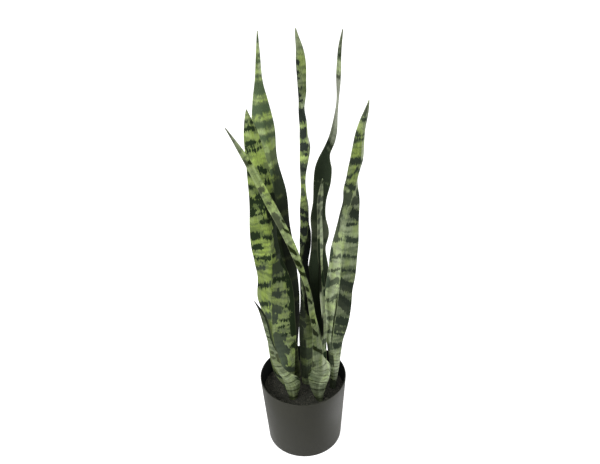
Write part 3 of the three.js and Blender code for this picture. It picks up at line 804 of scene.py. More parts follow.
def jagged_bands(nodes, given):
    """Dark bands with teeth that run along the leaf, and the dull halo round them."""
    place = seeded_place(nodes, given)
    band = nodes.attribute("band")
    depth = band
    for stretch, reach in TEETH:
        shift = nodes.swing(nodes.streaks(place, stretch, 1), reach)
        raised = nodes.maths("MULTIPLY", shift, given["Ragged"])
        depth = nodes.maths("ADD", depth, raised)
    teeth = nodes.maths("SUBTRACT", depth, band)
    dull = nodes.maths("ADD", nodes.attribute("dull"), teeth)
    fine = nodes.streaks(place, (0.55, 0.05, 1), 1)
    shift = nodes.maths("MULTIPLY", fine, FAINT_SHIFT)
    bowed = nodes.add("ShaderNodeCombineXYZ", {1: shift}).outputs[0]
    shifted = nodes.vector("ADD", place, bowed)[0]
    return {
        "Mask": nodes.span(
            depth, nodes.maths("MULTIPLY", given["Soft"], -1.0), given["Soft"]
        ),
        "Halo": nodes.span(depth, -5.0, 1.5),
        "Dull": nodes.span(dull, -1.5, 1.5),
        "Faint": nodes.streaks(shifted, (0.032, 0.13, 1), 3),
    }


def lengthwise_grain(nodes, given):
    """Fine streaks along the leaf, slow cloudy changes of tone, and flecks."""
    place = seeded_place(nodes, given)
    return {
        "Streaks": nodes.streaks(place, (0.9, 0.018, 1), 3),
        "Clouds": nodes.streaks(place, (0.09, 0.03, 1), 3),
        "Flecks": nodes.streaks(place, (1.6, 0.35, 1), 2),
    }


def sheath_level(nodes, given):
    """Height along slightly wavy arches that drop from a middle line, and breaks."""
    lie = nodes.attribute("lie", "Vector")
    parts = nodes.add("ShaderNodeSeparateXYZ", {0: lie}).outputs
    off = nodes.maths("SUBTRACT", parts[0], given["Middle"])
    arch = nodes.maths("MULTIPLY", nodes.maths("MULTIPLY", off, off), SHEATH_ARCH)
    bent = nodes.swing(nodes.streaks(lie, (0.12, 0.08, 1), 2), SHEATH_WANDER)
    level = nodes.maths("ADD", nodes.maths("ADD", parts[1], arch), bent)
    breaks = nodes.streaks(lie, (0.16, 0.30, 1), 2)
    return {"Level": level, "Unbroken": nodes.span(breaks, 0.35, 0.6, 0.6, 1.0)}


def fine_mottle(nodes, given):
    """Even specks and slow blotches, for plastic and peat."""
    place = nodes.place()
    return {
        "Specks": nodes.noise(place, given["Fine"], 2),
        "Blotches": nodes.noise(place, given["Coarse"], 3),
    }


EFFECTS = {
    "bands": ("Jagged bands", {"Ragged": 1.0, "Soft": 0.5, "Seed": 0.0}, jagged_bands),
    "grain": ("Lengthwise grain", {"Seed": 0.0}, lengthwise_grain),
    "sheath": ("Sheath level", {"Middle": 0.0}, sheath_level),
    "mottle": ("Fine mottle", {"Fine": 1400.0, "Coarse": 24.0}, fine_mottle),
}


def shared_effect(key):
    """The node group for an effect, built once."""
    name, inputs, build = EFFECTS[key]
    return bpy.data.node_groups.get(name) or effect(name, inputs, build)


def placed(nodes, key, **values):
    """A shared effect put in a material, with its own values."""
    return nodes.add("ShaderNodeGroup", values, node_tree=shared_effect(key)).outputs


def new_material(name):
    """An empty material with its node builder."""
    material = bpy.data.materials.new(name)
    material.use_nodes = True
    return material, Nodes(material.node_tree)


def finish_material(
    nodes, colour, roughness, height, strength, distance, specular=0.5
):
    """Ends a material in a Principled shader with a bump."""
    bump = nodes.add(
        "ShaderNodeBump", {"Height": height, "Strength": strength, "Distance": distance}
    )
    shader = nodes.add(
        "ShaderNodeBsdfPrincipled",
        {
            "Base Color": colour,
            "Roughness": roughness,
            "Specular IOR Level": specular,
            "Normal": bump.outputs[0],
        },
    )
    nodes.add("ShaderNodeOutputMaterial", {"Surface": shader.outputs[0]})


RULED_MARGIN = 10  # mm of plain ground before the first line and after the last


def ruled(nodes, level, lines):
    """A mask of thin lines drawn at given levels."""
    low, high = lines[0][0] - RULED_MARGIN, lines[-1][0] + RULED_MARGIN
    above = nodes.maths("SUBTRACT", level, low)
    share = nodes.maths("DIVIDE", above, high - low)
    node = nodes.add("ShaderNodeValToRGB", {0: share})
    ramp = node.color_ramp
    ramp.elements[1].color = (0, 0, 0, 1)
    for height, reach, strength in lines:
        for step, value in ((-reach, 0), (0, strength), (reach, 0)):
            stop = ramp.elements.new((height + step - low) / (high - low))
            stop.color = (value, value, value, 1)
    return node.outputs[0]


FLECK_LIFT = 2.2  # how many times lighter the flecks in the dark bands are


def leaf_material(name, seed, settings):
    """The printed satin skin of one leaf, with painted light, shade and sheen."""
    look = LOOKS[name]
    material, nodes = new_material(name.replace("_", " "))
    bands = placed(nodes, "bands", Ragged=look.ragged / 2, Soft=look.soft, Seed=seed)
    grain = placed(nodes, "grain", Seed=seed)
    cloudy = nodes.span(grain["Clouds"], 0.3, 0.7, -0.3, 0.3)
    fresh = nodes.maths("ADD", nodes.attribute("fresh"), cloudy, clamp=True)
    ground = nodes.mix(fresh, settings.pale, settings.lime)
    ground = nodes.dimmed(ground, nodes.span(bands["Faint"], 0.36, 0.50, 1.22, 1.0))
    ground = nodes.dimmed(ground, nodes.span(grain["Streaks"], 0.25, 0.75, 0.75, 1.2))
    faint = nodes.span(bands["Faint"], 0.48, 0.60, 0.0, 0.55)
    ground = nodes.mix(faint, ground, settings.dull)
    # painted sheen: a grey painted reflection laid over the ground and broken by the
    # streaks; in places it also pales the print
    streaky = nodes.span(grain["Streaks"], 0.3, 0.7, 0.6, 1.0)
    sheen = nodes.maths("MULTIPLY", nodes.attribute("sheen"), streaky)
    ground = nodes.mix(sheen, ground, settings.painted_sheen_grey)
    halo = nodes.maths("MULTIPLY", bands["Halo"], 0.6)
    ground = nodes.mix(halo, ground, settings.dull)
    dulled = nodes.maths("MULTIPLY", bands["Dull"], 0.9)
    ground = nodes.mix(dulled, ground, look.dull)
    if name in SHEATH_LINES:
        middle, lines = SHEATH_LINES[name]
        sheath = placed(nodes, "sheath", Middle=middle)
        drawn = ruled(nodes, sheath["Level"], lines)
        drawn = nodes.maths("MULTIPLY", drawn, sheath["Unbroken"])
        ground = nodes.mix(drawn, ground, settings.line)
    line = nodes.span(nodes.attribute("edge"), 0.3, 1.2, 0.25, 0.0)
    flecked = nodes.span(grain["Flecks"], 0.52, 0.75, 0.0, 0.5)
    dark = nodes.mix(flecked, look.dark, [FLECK_LIFT * part for part in look.dark])
    colour = nodes.mix(bands["Mask"], ground, dark)
    colour = nodes.mix(line, colour, settings.margin)
    # painted light and shade: the tone dims or lifts each half along its height, beside
    # the print's own tone
    colour = nodes.dimmed(colour, nodes.attribute("tone"))
    rib = nodes.span(nodes.attribute("rib"), 0.0, 1.0)
    colour = nodes.mix(rib, colour, settings.line)
    rough = nodes.span(grain["Clouds"], 0.3, 0.7, 0.50, 0.62)
    finish_material(
        nodes,
        colour,
        rough,
        height=grain["Streaks"],
        strength=0.35,
        distance=0.0004,
        specular=0.03,
    )
    return material


WORN_LIFT = 1.18  # how many times lighter the pot's blotches are
# Painted shade: near-black for the inside of the pot, where shade falls.
POT_INSIDE_PAINTED_SHADE = (0.006, 0.008, 0.0075)
PAINTED_SHADE_FROM = (0.75, 0.35)  # shares of the wall over which its colour turns to the painted shade


def pot_slope(pot):
    """How much the pot widens for each metre of height."""
    return (pot.rim_radius - pot.base_radius) / pot.height


def pot_material(settings):
    """Matt dark plastic, with a fine grain, and painted shade inside."""
    material, nodes = new_material("pot plastic")
    mottle = placed(nodes, "mottle", Fine=1500.0, Coarse=16.0)
    worn = [WORN_LIFT * part for part in settings.colour]
    colour = nodes.mix(nodes.span(mottle["Blotches"], 0.35, 0.7), settings.colour, worn)
    x, y, z = nodes.add("ShaderNodeSeparateXYZ", {0: nodes.place()}).outputs
    squares = [nodes.maths("MULTIPLY", side, side) for side in (x, y)]
    radius = nodes.maths("SQRT", nodes.maths("ADD", *squares))
    widened = nodes.maths("MULTIPLY", z, pot_slope(settings))
    outer = nodes.maths("SUBTRACT", radius, widened)
    # painted shade over the inner wall and the pot's inner floor
    ends = (settings.base_radius - settings.wall * share for share in PAINTED_SHADE_FROM)
    inside = nodes.span(outer, *ends, 1.0, 0.0)
    colour = nodes.mix(inside, colour, POT_INSIDE_PAINTED_SHADE)
    rough = nodes.span(mottle["Blotches"], 0.3, 0.7, 0.42, 0.52)
    finish_material(
        nodes,
        colour,
        rough,
        height=mottle["Specks"],
        strength=0.25,
        distance=0.0003,
        specular=0.2,
    )
    return material


def soil_material(settings):
    """Damp peat with dry crumbs."""
    material, nodes = new_material("peat and bark")
    mottle = placed(nodes, "mottle", Fine=520.0, Coarse=95.0)
    crumbs = nodes.span(mottle["Specks"], 0.46, 0.72)
    patches = nodes.span(mottle["Blotches"], 0.35, 0.7, 0.25, 1.0)
    share = nodes.maths("MULTIPLY", crumbs, patches)
    colour = nodes.mix(share, settings.dark, settings.light)
    finish_material(
        nodes, colour, 0.92, height=mottle["Specks"], strength=0.8, distance=0.0012
    )
    return material


# ---------------------------------------------------------------- the stage

WHITE = (1, 1, 1)
FLOOR_SIZE = 14
FLOOR_GREY = (0.52, 0.52, 0.52)
MIRRORED_REACH = (0.20, 0.40)  # how far from the pot's skin the mirrored glow dies out
BRIGHT_SPOT = (0.24, -0.08, 0.0)  # where the floor glows most in the pot's gloss
BRIGHT_SPOT_REACH = (0.04, 0.20)
LIGHT_SIDE = (-0.16, 0.62, 0.70)  # towards the room's light side: behind and overhead
LIGHT_SPREAD = (-0.5, 0.8)  # the light grows from the dim side to the light side
LIGHTS_AIM = (0, 0, 0.35)
LENS = 50
SENSOR_WIDTH = 36
CAMERA_X = 0.0031


def lay_floor(settings):
    """A pale floor that the camera sees lifted to white, and that glows in the pot."""
    start_clean()
    bpy.ops.mesh.primitive_plane_add(size=FLOOR_SIZE)
    floor = bpy.context.object
    floor.name = "floor"
    material, nodes = new_material("pale floor")
    ray = nodes.add("ShaderNodeLightPath").outputs
    near = nodes.span(ray["Ray Length"], *MIRRORED_REACH, settings.mirrored, 0.0)
    off = nodes.vector("DISTANCE", nodes.place(), BRIGHT_SPOT)["Value"]
    patch = nodes.span(off, *BRIGHT_SPOT_REACH, settings.bright_spot, 0.0)
    glowing = nodes.maths("ADD", near, patch)
    mirrored = nodes.maths("MULTIPLY", ray["Is Glossy Ray"], glowing)
    seen = nodes.maths("MULTIPLY", ray["Is Camera Ray"], settings.glow)
    shader = nodes.add(
        "ShaderNodeBsdfPrincipled",
        {
            "Base Color": FLOOR_GREY,
            "Roughness": 0.9,
            "Specular IOR Level": 0.0,
            "Emission Color": WHITE,
            "Emission Strength": nodes.maths("ADD", seen, mirrored),
        },
    )
    nodes.add("ShaderNodeOutputMaterial", {"Surface": shader.outputs[0]})
    floor.data.materials.append(material)


def light_room(settings):
    """A white room, lighter at the left back and overhead, and white to the camera."""
    world = bpy.data.worlds.new("white room")
    bpy.context.scene.world = world
    world.use_nodes = True
    nodes = Nodes(world.node_tree)
    outward = nodes.add("ShaderNodeTexCoord").outputs["Generated"]
    light_side = Vector(LIGHT_SIDE).normalized()
    towards = nodes.vector("DOT_PRODUCT", outward, light_side)["Value"]
    seen = nodes.add("ShaderNodeLightPath").outputs["Is Camera Ray"]
    level = nodes.span(towards, *LIGHT_SPREAD, settings.dim_side, settings.world)
    level = nodes.maths("MAXIMUM", level, seen)
    sky = nodes.add("ShaderNodeBackground", {"Color": WHITE, "Strength": level})
    nodes.add("ShaderNodeOutputWorld", {"Surface": sky.outputs[0]})


def hang_light(name, place, size, power):
    """One large round light that faces the plant."""
    start_clean()
    bpy.ops.object.light_add(type="AREA", location=place)
    light = bpy.context.object
    light.name = name
    light.data.shape = "DISK"
    light.data.size = size
    light.data.energy = power
    facing = Vector(LIGHTS_AIM) - Vector(place)
    light.rotation_euler = facing.to_track_quat("-Z", "Y").to_euler()


def place_camera(settings):
    """The camera, in front of the plant and looking down on it."""
    start_clean()
    bpy.ops.object.camera_add()
    camera = bpy.context.object
    camera.name = "camera"
    camera.data.lens = LENS
    camera.data.sensor_width = SENSOR_WIDTH
    camera.matrix_world = (
        Matrix.Translation((CAMERA_X, -settings.distance, settings.height))
        @ Matrix.Rotation(math.pi / 2 - settings.pitch, 4, "X")
        @ Matrix.Rotation(settings.roll, 4, "Z")
    )
    bpy.context.scene.camera = camera


def set_stage(settings):
    """A pale floor, a white room, soft lights and the camera."""
    lay_floor(settings)
    light_room(settings)
    hang_light("key light", (-1.7, -1.4, 2.0), 1.3, settings.key)
    hang_light("fill light", (2.2, 0.5, 1.0), 1.6, settings.fill)
    hang_light("top light", (0.1, -0.5, 2.8), 1.5, settings.top)
    place_camera(settings)
    bpy.context.scene.view_settings.view_transform = "Standard"
    bpy.context.scene.view_settings.look = "None"


# ---------------------------------------------------------------- the pot

POT_SIDES = 192
POT_EDGE_ROUND = 0.0007


def model_pot(settings):
    """The pot: a disc drawn up into a wall, turned in at the rim and let down."""
    start_clean()
    bpy.ops.mesh.primitive_circle_add(
        vertices=POT_SIDES, radius=settings.base_radius, fill_type="NGON"
    )
    pot = bpy.context.object
    bpy.ops.object.mode_set(mode="EDIT")
    bpy.ops.mesh.select_all(action="SELECT")
    inner_rim = settings.rim_radius - settings.wall
    widened = pot_slope(settings) * settings.floor
    inner_foot = settings.base_radius + widened - settings.wall
    steps = (
        (settings.height, settings.rim_radius, settings.base_radius),
        (0, inner_rim, settings.rim_radius),
        (settings.floor - settings.height, inner_foot, inner_rim),
    )
    for rise, radius, before in steps:
        bpy.ops.mesh.extrude_region_move(TRANSFORM_OT_translate={"value": (0, 0, rise)})
        bpy.ops.transform.resize(value=(radius / before, radius / before, 1))
    face_outward()
    apply_modifier(
        pot,
        "BEVEL",
        width=POT_EDGE_ROUND,
        segments=3,
        limit_method="ANGLE",
        angle_limit=math.radians(40),
    )
    smooth_shade(pot, 30)
    return pot


# ---------------------------------------------------------------- the leaves


def smooth_curve(stations, column, position):
    """The smooth curve through one column of the stations, at positions along them."""
    last = len(stations) - 1
    span = np.minimum(np.floor(position).astype(int), last - 1)
    share = position - span
    before, start, end, after = (
        stations[np.clip(span + step, 0, last), column] for step in (-1, 0, 1, 2)
    )
    bend = 2 * before - 5 * start + 4 * end - after
    twist = 3 * start - before - 3 * end + after
    return 0.5 * (
        2 * start + (end - before) * share + bend * share**2 + twist * share**3
    )


def midrib(stations, position):
    """Points of a leaf's midrib."""
    columns = (MID_X, MID_Y, HEIGHT)
    return np.stack([smooth_curve(stations, c, position) for c in columns], axis=1)


def unit(vectors):
    """Vectors of length 1."""
    return vectors / np.linalg.norm(vectors, axis=1, keepdims=True)


def row_positions(stations, top):
    """Positions along the stations, about ROW_STEP apart, up to a height."""
    last = len(stations) - 1
    fine = np.linspace(0, last, last * MIDRIB_SAMPLES + 1)
    points = midrib(stations, fine)
    steps = np.linalg.norm(np.diff(points, axis=0), axis=1)
    length = np.concatenate([[0], np.cumsum(steps)])
    end = np.interp(top, points[:, 2], length) if top else length[-1]
    rows = max(int(end / ROW_STEP), FEWEST_ROWS)
    return np.interp(np.linspace(0, end, rows + 1), length, fine)


def half_reaches(width, widest):
    """How far each column of a half lies from the midrib, for every row."""
    plain = max(int(widest / COLUMN_STEP), FEWEST_COLUMNS)
    shares = (np.arange(1, plain + 1) / plain) ** CROWDING
    first = np.minimum(EDGE_INSETS[0], width * WIDEST_INSET)[:, None]
    inner = (width[:, None] - first) * shares
    insets = np.array(EDGE_INSETS[1:]) / EDGE_INSETS[0]
    outer = width[:, None] - first * insets
    return np.concatenate([np.zeros((len(width), 1)), inner, outer], axis=1)


def half_blade(stations, position, frames, side, grow, widest):
    """Half a blade: its points, mm from the midrib and to the edge, and thickness."""
    centre, right, face = frames
    column = LEFT if side < 0 else RIGHT
    width = np.maximum(smooth_curve(stations, column, position), TIP_HALF_WIDTH) + grow
    fold = np.radians(smooth_curve(stations, FOLD, position))
    risen = blend_between(FOOT_TOP, BLADE_START, centre[:, 2])
    crease = FOOT_CREASE + (BLADE_CREASE - FOOT_CREASE) * risen
    rib = FOOT_THICKNESS + (BLADE_THICKNESS - FOOT_THICKNESS) * risen
    reach = half_reaches(width, widest)
    phase = 2 * math.pi * centre[:, 2] / WAVE_LENGTH + side + stations[0][MID_X]
    slim = np.minimum(1, width / SLIM_BELOW)
    wave = EDGE_WAVE * risen * slim * np.sin(phase)

    share = reach / width[:, None]
    middle = (reach[:, 1:] + reach[:, :-1]) / 2
    crease_reach = np.minimum(CREASE_REACH, width / 2)[:, None]
    rounded = blend_between(0, 1, middle / crease_reach)
    even = 2 * (1 - crease)[:, None] * middle / width[:, None]
    bend = fold[:, None] * (crease[:, None] * rounded + even)
    step = np.diff(reach, axis=1)
    out = np.cumsum(side * np.cos(bend) * step, axis=1)
    lift = np.cumsum(np.sin(bend) * step, axis=1)
    start = np.zeros((len(width), 1))
    out = np.concatenate([start, out], axis=1)
    lift = np.concatenate([start, lift], axis=1) + wave[:, None] * share**2
    points = (
        centre[:, None, :]
        + right[:, None, :] * out[:, :, None]
        + face[:, None, :] * lift[:, :, None]
    )
    raised = ((rib - EDGE_THICKNESS) * slim)[:, None] * (1 - share**2)
    to_edge = width[:, None] - reach
    turned = np.clip(1 - to_edge / EDGE_INSETS[0], 0, 1)
    thick = EDGE_THICKNESS + raised - RIM_THICKNESS
    thick = RIM_THICKNESS + thick * np.sqrt(1 - turned**2)
    return points, side * reach, to_edge, thick + 2 * grow


def stroke_depth(strokes, across, to_edge, height):
    """How far in mm each point lies inside the nearest stroke; minus is outside."""
    depth = np.full(across.shape, -DEEPEST_BAND)
    half_width = np.abs(across) + to_edge - EDGE_REACH
    for start, end, from_height, to_height, tall in strokes:
        share = np.clip((across - start) / (end - start), 0, 1)
        middle = from_height + (to_height - from_height) * share
        to_start, to_end = across - start, end - across
        if start == 0:
            to_start = np.where(across > 0, DEEPEST_BAND, -DEEPEST_BAND)
        if end == 0:
            to_end = np.where(across < 0, DEEPEST_BAND, -DEEPEST_BAND)
        over_left = (across < 0) & (-start > half_width)
        over_right = (across > 0) & (end > half_width)
        to_start = np.where(over_left, DEEPEST_BAND, to_start)
        to_end = np.where(over_right, DEEPEST_BAND, to_end)
        ends = np.minimum(to_start, to_end)
        taper = BLUNT_END + (1 - BLUNT_END) * np.sqrt(np.clip(ends / END_TAPER, 0, 1))
        inside = tall / 2 * taper - np.abs(height - middle)
        depth = np.maximum(depth, np.minimum(inside, ends))
    return np.clip(depth, -DEEPEST_BAND, DEEPEST_BAND)


def leaf_surface(name, grow=0.0, top=None):
    """The middle surface of a leaf, as rows of points, with what its skin needs."""
    stations = np.array(STATIONS[name], float)
    position = row_positions(stations, top)
    last = len(stations) - 1
    centre = midrib(stations, position)
    after = midrib(stations, np.minimum(position + TANGENT_STEP, last))
    before = midrib(stations, np.maximum(position - TANGENT_STEP, 0))
    up = unit(after - before)
    turn = np.radians(smooth_curve(stations, TURN, position))
    right = np.stack([np.cos(turn), np.sin(turn), np.zeros(len(turn))], axis=1)
    right = unit(right - up * np.sum(up * right, axis=1, keepdims=True))
    face = np.cross(right, up)
    frames = (centre, right, face)
    widest = stations[:, (LEFT, RIGHT)].max()
    left = half_blade(stations, position, frames, -1, grow, widest)
    other = half_blade(stations, position, frames, 1, grow, widest)
    points, across, to_edge, thick = (
        np.concatenate([a[:, :0:-1], b], axis=1) for a, b in zip(left, other)
    )
    height = np.repeat(centre[:, 2:], across.shape[1], axis=1)
    return points, across, to_edge, thick, height


def between_halves(rows, height, side):
    """A value listed by height for the two halves, blended at the midrib."""
    table = np.array(rows)
    left = np.interp(height, table[:, 0], table[:, 1])
    right = np.interp(height, table[:, 0], table[:, 2])
    return left + (right - left) * side


def leaf_skin(name, across, to_edge, height):
    """The attributes that a leaf's material reads."""
    look = LOOKS[name]
    depth, light, dull = (
        stroke_depth(strokes.get(name, ()), across, to_edge, height)
        for strokes in (DARK_STROKES, LIGHT_STROKES, DULL_STROKES)
    )
    side = blend_between(-HALVES_BLEND, HALVES_BLEND, across)
    rib = np.zeros(across.shape)
    if name in RIBS:
        low, high, place, strength = RIBS[name]
        begun = blend_between(low - RIB_FADE, low + RIB_FADE, height)
        ended = blend_between(high - RIB_FADE, high + RIB_FADE, height)
        drawn = np.clip(RIB_REACH - np.abs(across - place), 0, 1)
        rib = strength * begun * (1 - ended) * drawn
    return {
        "band": np.minimum(depth, -light),
        "dull": dull,
        "tone": between_halves(look.painted_light_and_tones, height, side),
        "fresh": between_halves(look.fresh, height, side),
        "sheen": between_halves(look.sheen, height, side),
        "edge": np.clip(to_edge, 0, WIDEST_MARGIN),
        "rib": rib,
    }


def build_blade(name, grow=0.0, top=None):
    """A blade as a closed mesh: a grid laid along the leaf and given its thickness."""
    points, across, to_edge, thick, height = leaf_surface(name, grow, top)
    rows, columns = across.shape
    start_clean()
    bpy.ops.mesh.primitive_grid_add(
        x_subdivisions=columns - 1, y_subdivisions=rows - 1, size=2
    )
    blade = bpy.context.object
    mesh = blade.data
    flat = np.empty(len(mesh.vertices) * 3)
    mesh.vertices.foreach_get("co", flat)
    flat = flat.reshape(-1, 3)
    column = np.rint((flat[:, 0] + 1) / 2 * (columns - 1)).astype(int)
    row = np.rint((flat[:, 1] + 1) / 2 * (rows - 1)).astype(int)
    mesh.vertices.foreach_set("co", (points[row, column] * MM).ravel())
    if not grow:
        lie = mesh.attributes.new("lie", "FLOAT_VECTOR", "POINT")
        place = np.stack([across, height, np.zeros(across.shape)], axis=2)
        lie.data.foreach_set("vector", place[row, column].ravel())
        for label, values in leaf_skin(name, across, to_edge, height).items():
            layer = mesh.attributes.new(label, "FLOAT", "POINT")
            layer.data.foreach_set("value", values[row, column].ravel())
    mesh.update()
    most = thick.max()
    group = blade.vertex_groups.new(name="thickness")
    for index, share in enumerate((thick[row, column] / most).tolist()):
        group.add([index], share, "REPLACE")
    apply_modifier(
        blade,
        "SOLIDIFY",
        thickness=most * MM,
        offset=0,
        vertex_group="thickness",
        use_quality_normals=True,
    )
    blade.vertex_groups.clear()
    return blade


def model_leaf(name, seed, settings):
    """One leaf, with its printed skin."""
    leaf = build_blade(name)
    only(leaf)
    bpy.ops.object.mode_set(mode="EDIT")
    face_outward()
    smooth_shade(leaf, 45)
    skin = leaf_material(name, seed, settings)
    hand_over(leaf, name + "_blade", skin, name)


# ---------------------------------------------------------------- the soil

SOIL_CELLS = 190
SOIL_GAP = 0.0003
SOIL_BUMP = 0.0008  # gentle unevenness of the soil's top
SOIL_WAVES = ((3, 9), (5, -6))  # its waves round the mound, and their turn outwards
LUMPS = (130, 2.0, 0.0012)  # how fine the noise is, where it is cut, and its height
GRAINS = (420, 5.0, 0.0008)
CELLS = (900, 9.0, 0.0004)
EDGE_FADE = 30  # the relief dies out over the last 1/30 of the radius
SLOT_CLEARANCE_MM = 0.4
SLOT_TOP_MM = 136
SLOT_MERGE = 0.000004


def soil_height(settings, x, y, wall):
    """Height of the soil's plain surface."""
    reach = math.hypot(x, y) / wall
    angle = math.atan2(y, x)
    first, second = (count * angle + out * reach for count, out in SOIL_WAVES)
    bump = math.sin(first) + math.cos(second)
    return settings.crown - settings.fall * reach**4 + SOIL_BUMP * reach * bump


def relief(kind, layer, x, y):
    """One layer of noise at a point of the soil."""
    scale, cut, height = layer
    return kind((x * scale, y * scale, cut)) * height


def roughness_at(x, y):
    """Crumbly relief of the peat, in metres, never much above the plain surface."""
    lumps = relief(noise.noise, LUMPS, x, y)
    grains = relief(noise.noise, GRAINS, x, y)
    return lumps + grains + relief(noise.cell, CELLS, x, y) - LUMPS[2]


def model_soil(settings, pot):
    """The soil: a grid pressed into a disc, roughened, and let down to the floor."""
    edge_height = settings.crown - settings.fall
    inner = pot.rim_radius - pot.wall
    foot_height = pot.floor + SOIL_GAP

    def radius_at(height):
        return pot.base_radius + pot_slope(pot) * height - pot.wall - SOIL_GAP

    start_clean()
    bpy.ops.mesh.primitive_grid_add(
        x_subdivisions=SOIL_CELLS, y_subdivisions=SOIL_CELLS, size=2
    )
    soil = bpy.context.object
    rim = radius_at(edge_height)
    for vertex in soil.data.vertices:
        u, v = vertex.co.x, vertex.co.y
        x = u * math.sqrt(1 - v * v / 2) * rim
        y = v * math.sqrt(1 - u * u / 2) * rim
        height = soil_height(settings, x, y, inner)
        fade = min(1.0, (1 - min(math.hypot(x, y) / rim, 1.0)) * EDGE_FADE)
        vertex.co = (x, y, height + roughness_at(x, y) * fade)
    soil.data.update()
    only(soil)
    bpy.ops.object.mode_set(mode="EDIT")
    bpy.ops.mesh.select_all(action="DESELECT")
    bpy.ops.mesh.select_mode(type="EDGE")
    bpy.ops.mesh.select_non_manifold(
        extend=False,
        use_wire=False,
        use_multi_face=False,
        use_non_contiguous=False,
        use_verts=False,
    )
    bpy.ops.mesh.extrude_edges_move(
        TRANSFORM_OT_translate={"value": (0, 0, foot_height - edge_height)}
    )
    bpy.ops.transform.resize(value=(1, 1, 0), center_override=(0, 0, foot_height))
    shrink = radius_at(pot.floor) / rim
    bpy.ops.transform.resize(value=(shrink, shrink, 1), center_override=(0, 0, 0))
    bpy.ops.mesh.edge_face_add()
    face_outward()
    return soil


def cut_slots(soil):
    """Cuts a slot for each leaf's foot into the soil, and clears slivers away."""
    for name in STATIONS:
        cutter = build_blade(name, grow=SLOT_CLEARANCE_MM, top=SLOT_TOP_MM)
        apply_modifier(
            soil, "BOOLEAN", operation="DIFFERENCE", object=cutter, solver="MANIFOLD"
        )
        bpy.data.objects.remove(cutter)
    only(soil)
    bpy.ops.object.mode_set(mode="EDIT")
    bpy.ops.mesh.select_all(action="SELECT")
    bpy.ops.mesh.remove_doubles(threshold=SLOT_MERGE)
    bpy.ops.mesh.dissolve_degenerate(threshold=SLOT_MERGE)
    bpy.ops.mesh.select_mode(type="EDGE")
    bpy.ops.mesh.select_all(action="DESELECT")
    bpy.ops.mesh.select_non_manifold(extend=False)
    bpy.ops.mesh.merge(type="COLLAPSE")
    bpy.ops.mesh.select_non_manifold(extend=False)
    bpy.ops.mesh.delete(type="EDGE")
    bpy.ops.mesh.select_all(action="SELECT")
    bpy.ops.mesh.delete_loose()
    bpy.ops.object.mode_set(mode="OBJECT")


CRUMB_SEED = 11
CRUMB_SIZES = (0.0007, 0.0009, 0.0012, 0.0017, 0.0024)
CRUMB_REACH = 0.93  # share of the pot's inner radius that they cover
CRUMB_CLEARANCE = 0.001  # between them and the leaves
CRUMB_TILT = (-0.5, 0.5)
CRUMB_LENGTH = (0.9, 1.9)  # this and the height are shares of a crumb's size
CRUMB_HEIGHT = (0.4, 0.8)
CRUMB_CORNERS = (0.75, 1.15)  # how far its corners are pushed in or out


def scatter_crumbs(soil, settings, pot):
    """Crumbs and bark chips, half sunk in the soil and clear of the leaves."""
    picks = random.Random(CRUMB_SEED)
    feet = [row for rows in STATIONS.values() for row in rows[:2]]
    inner = pot.rim_radius - pot.wall
    start_clean()
    bpy.ops.mesh.primitive_ico_sphere_add(subdivisions=1, radius=1)
    crumb = bpy.context.object
    shape = bmesh.new()
    made = 0
    while made < settings.crumbs:
        angle = picks.uniform(0, 2 * math.pi)
        reach = inner * CRUMB_REACH * math.sqrt(picks.random())
        x, y = reach * math.cos(angle), reach * math.sin(angle)
        size = picks.choice(CRUMB_SIZES)
        near = min(
            math.hypot(x - foot[MID_X] * MM, y - foot[MID_Y] * MM)
            - max(foot[LEFT], foot[RIGHT]) * MM
            for foot in feet
        )
        if near < size + CRUMB_CLEARANCE:
            continue
        made += 1
        turn = Matrix.Rotation(picks.uniform(0, math.pi), 4, "Z")
        turn = turn @ Matrix.Rotation(picks.uniform(*CRUMB_TILT), 4, "X")
        long = size * picks.uniform(*CRUMB_LENGTH)
        flat = Matrix.Diagonal((long, size, size * picks.uniform(*CRUMB_HEIGHT), 1))
        height = soil_height(settings, x, y, inner) + roughness_at(x, y)
        part = bmesh.new()
        part.from_mesh(crumb.data)
        for vertex in part.verts:
            vertex.co *= picks.uniform(*CRUMB_CORNERS)
        part.transform(Matrix.Translation((x, y, height)) @ turn @ flat)
        copied = bpy.data.meshes.new("crumb")
        part.to_mesh(copied)
        part.free()
        shape.from_mesh(copied)
        bpy.data.meshes.remove(copied)
    shape.to_mesh(crumb.data)
    shape.free()
    only(soil)
    crumb.select_set(True)
    bpy.ops.object.join()


# ---------------------------------------------------------------- operators and panel


class PLANT_OT_stage(bpy.types.Operator):
    """Set up the floor, the lights and the camera"""

    bl_idname = "plant.stage"
    bl_label = "Stage"

    def execute(self, context):
        set_stage(context.scene.plant_stage)
        return {"FINISHED"}


class PLANT_OT_pot(bpy.types.Operator):
    """Model the pot"""

    bl_idname = "plant.pot"
    bl_label = "Pot"

    def execute(self, context):
        settings = context.scene.plant_pot
        pot = model_pot(settings)
        hand_over(pot, "pot_shell", pot_material(settings), "pot")
        return {"FINISHED"}


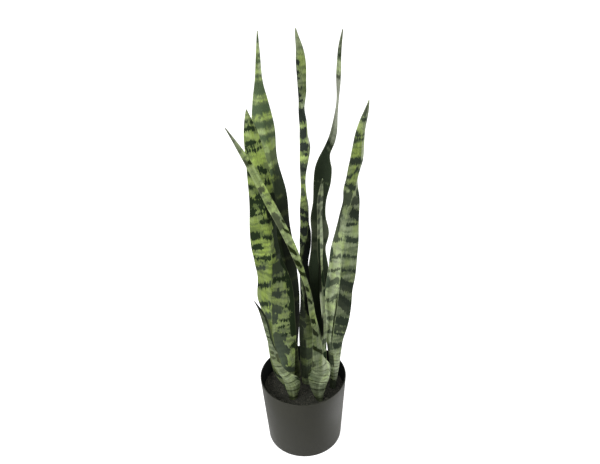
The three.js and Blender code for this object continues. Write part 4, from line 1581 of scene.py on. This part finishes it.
class PLANT_OT_soil(bpy.types.Operator):
    """Model the soil with its crumbs"""

    bl_idname = "plant.soil"
    bl_label = "Soil"

    def execute(self, context):
        settings, pot = context.scene.plant_soil, context.scene.plant_pot
        soil = model_soil(settings, pot)
        cut_slots(soil)
        scatter_crumbs(soil, settings, pot)
        smooth_shade(soil, 40)
        hand_over(soil, "soil_mound", soil_material(settings), "soil")
        return {"FINISHED"}


SEED_STEP = 17.0  # how far apart the leaves lie in the noise


class PLANT_OT_leaves(bpy.types.Operator):
    """Model the eight leaves"""

    bl_idname = "plant.leaves"
    bl_label = "Leaves"

    def execute(self, context):
        for number, name in enumerate(STATIONS):
            model_leaf(name, SEED_STEP * number, context.scene.plant_leaf)
        return {"FINISHED"}


class PLANT_PT_panel(bpy.types.Panel):
    """Lists the steps and their settings"""

    bl_idname = "PLANT_PT_panel"
    bl_label = "Snake plant"
    bl_space_type = "VIEW_3D"
    bl_region_type = "UI"
    bl_category = "Plant"

    def draw(self, context):
        scene = context.scene
        steps = (
            ("plant.stage", scene.plant_stage),
            ("plant.pot", scene.plant_pot),
            ("plant.soil", scene.plant_soil),
            ("plant.leaves", scene.plant_leaf),
        )
        for step, settings in steps:
            box = self.layout.box()
            box.operator(step)
            for name in settings.__annotations__:
                box.prop(settings, name)


SETTINGS = {
    "plant_stage": StageSettings,
    "plant_pot": PotSettings,
    "plant_soil": SoilSettings,
    "plant_leaf": LeafSettings,
}
OPERATORS = (PLANT_OT_stage, PLANT_OT_pot, PLANT_OT_soil, PLANT_OT_leaves)


def register():
    for kind in (*SETTINGS.values(), *OPERATORS, PLANT_PT_panel):
        bpy.utils.register_class(kind)
    for name, kind in SETTINGS.items():
        setattr(bpy.types.Scene, name, bpy.props.PointerProperty(type=kind))


def unregister():
    for name in SETTINGS:
        delattr(bpy.types.Scene, name)
    for kind in (PLANT_PT_panel, *reversed(OPERATORS), *SETTINGS.values()):
        bpy.utils.unregister_class(kind)


def main():
    """Builds the whole plant."""
    register()
    bpy.ops.plant.stage()
    bpy.ops.plant.pot()
    bpy.ops.plant.soil()
    bpy.ops.plant.leaves()
    start_clean()


if __name__ == "__main__":
    main()
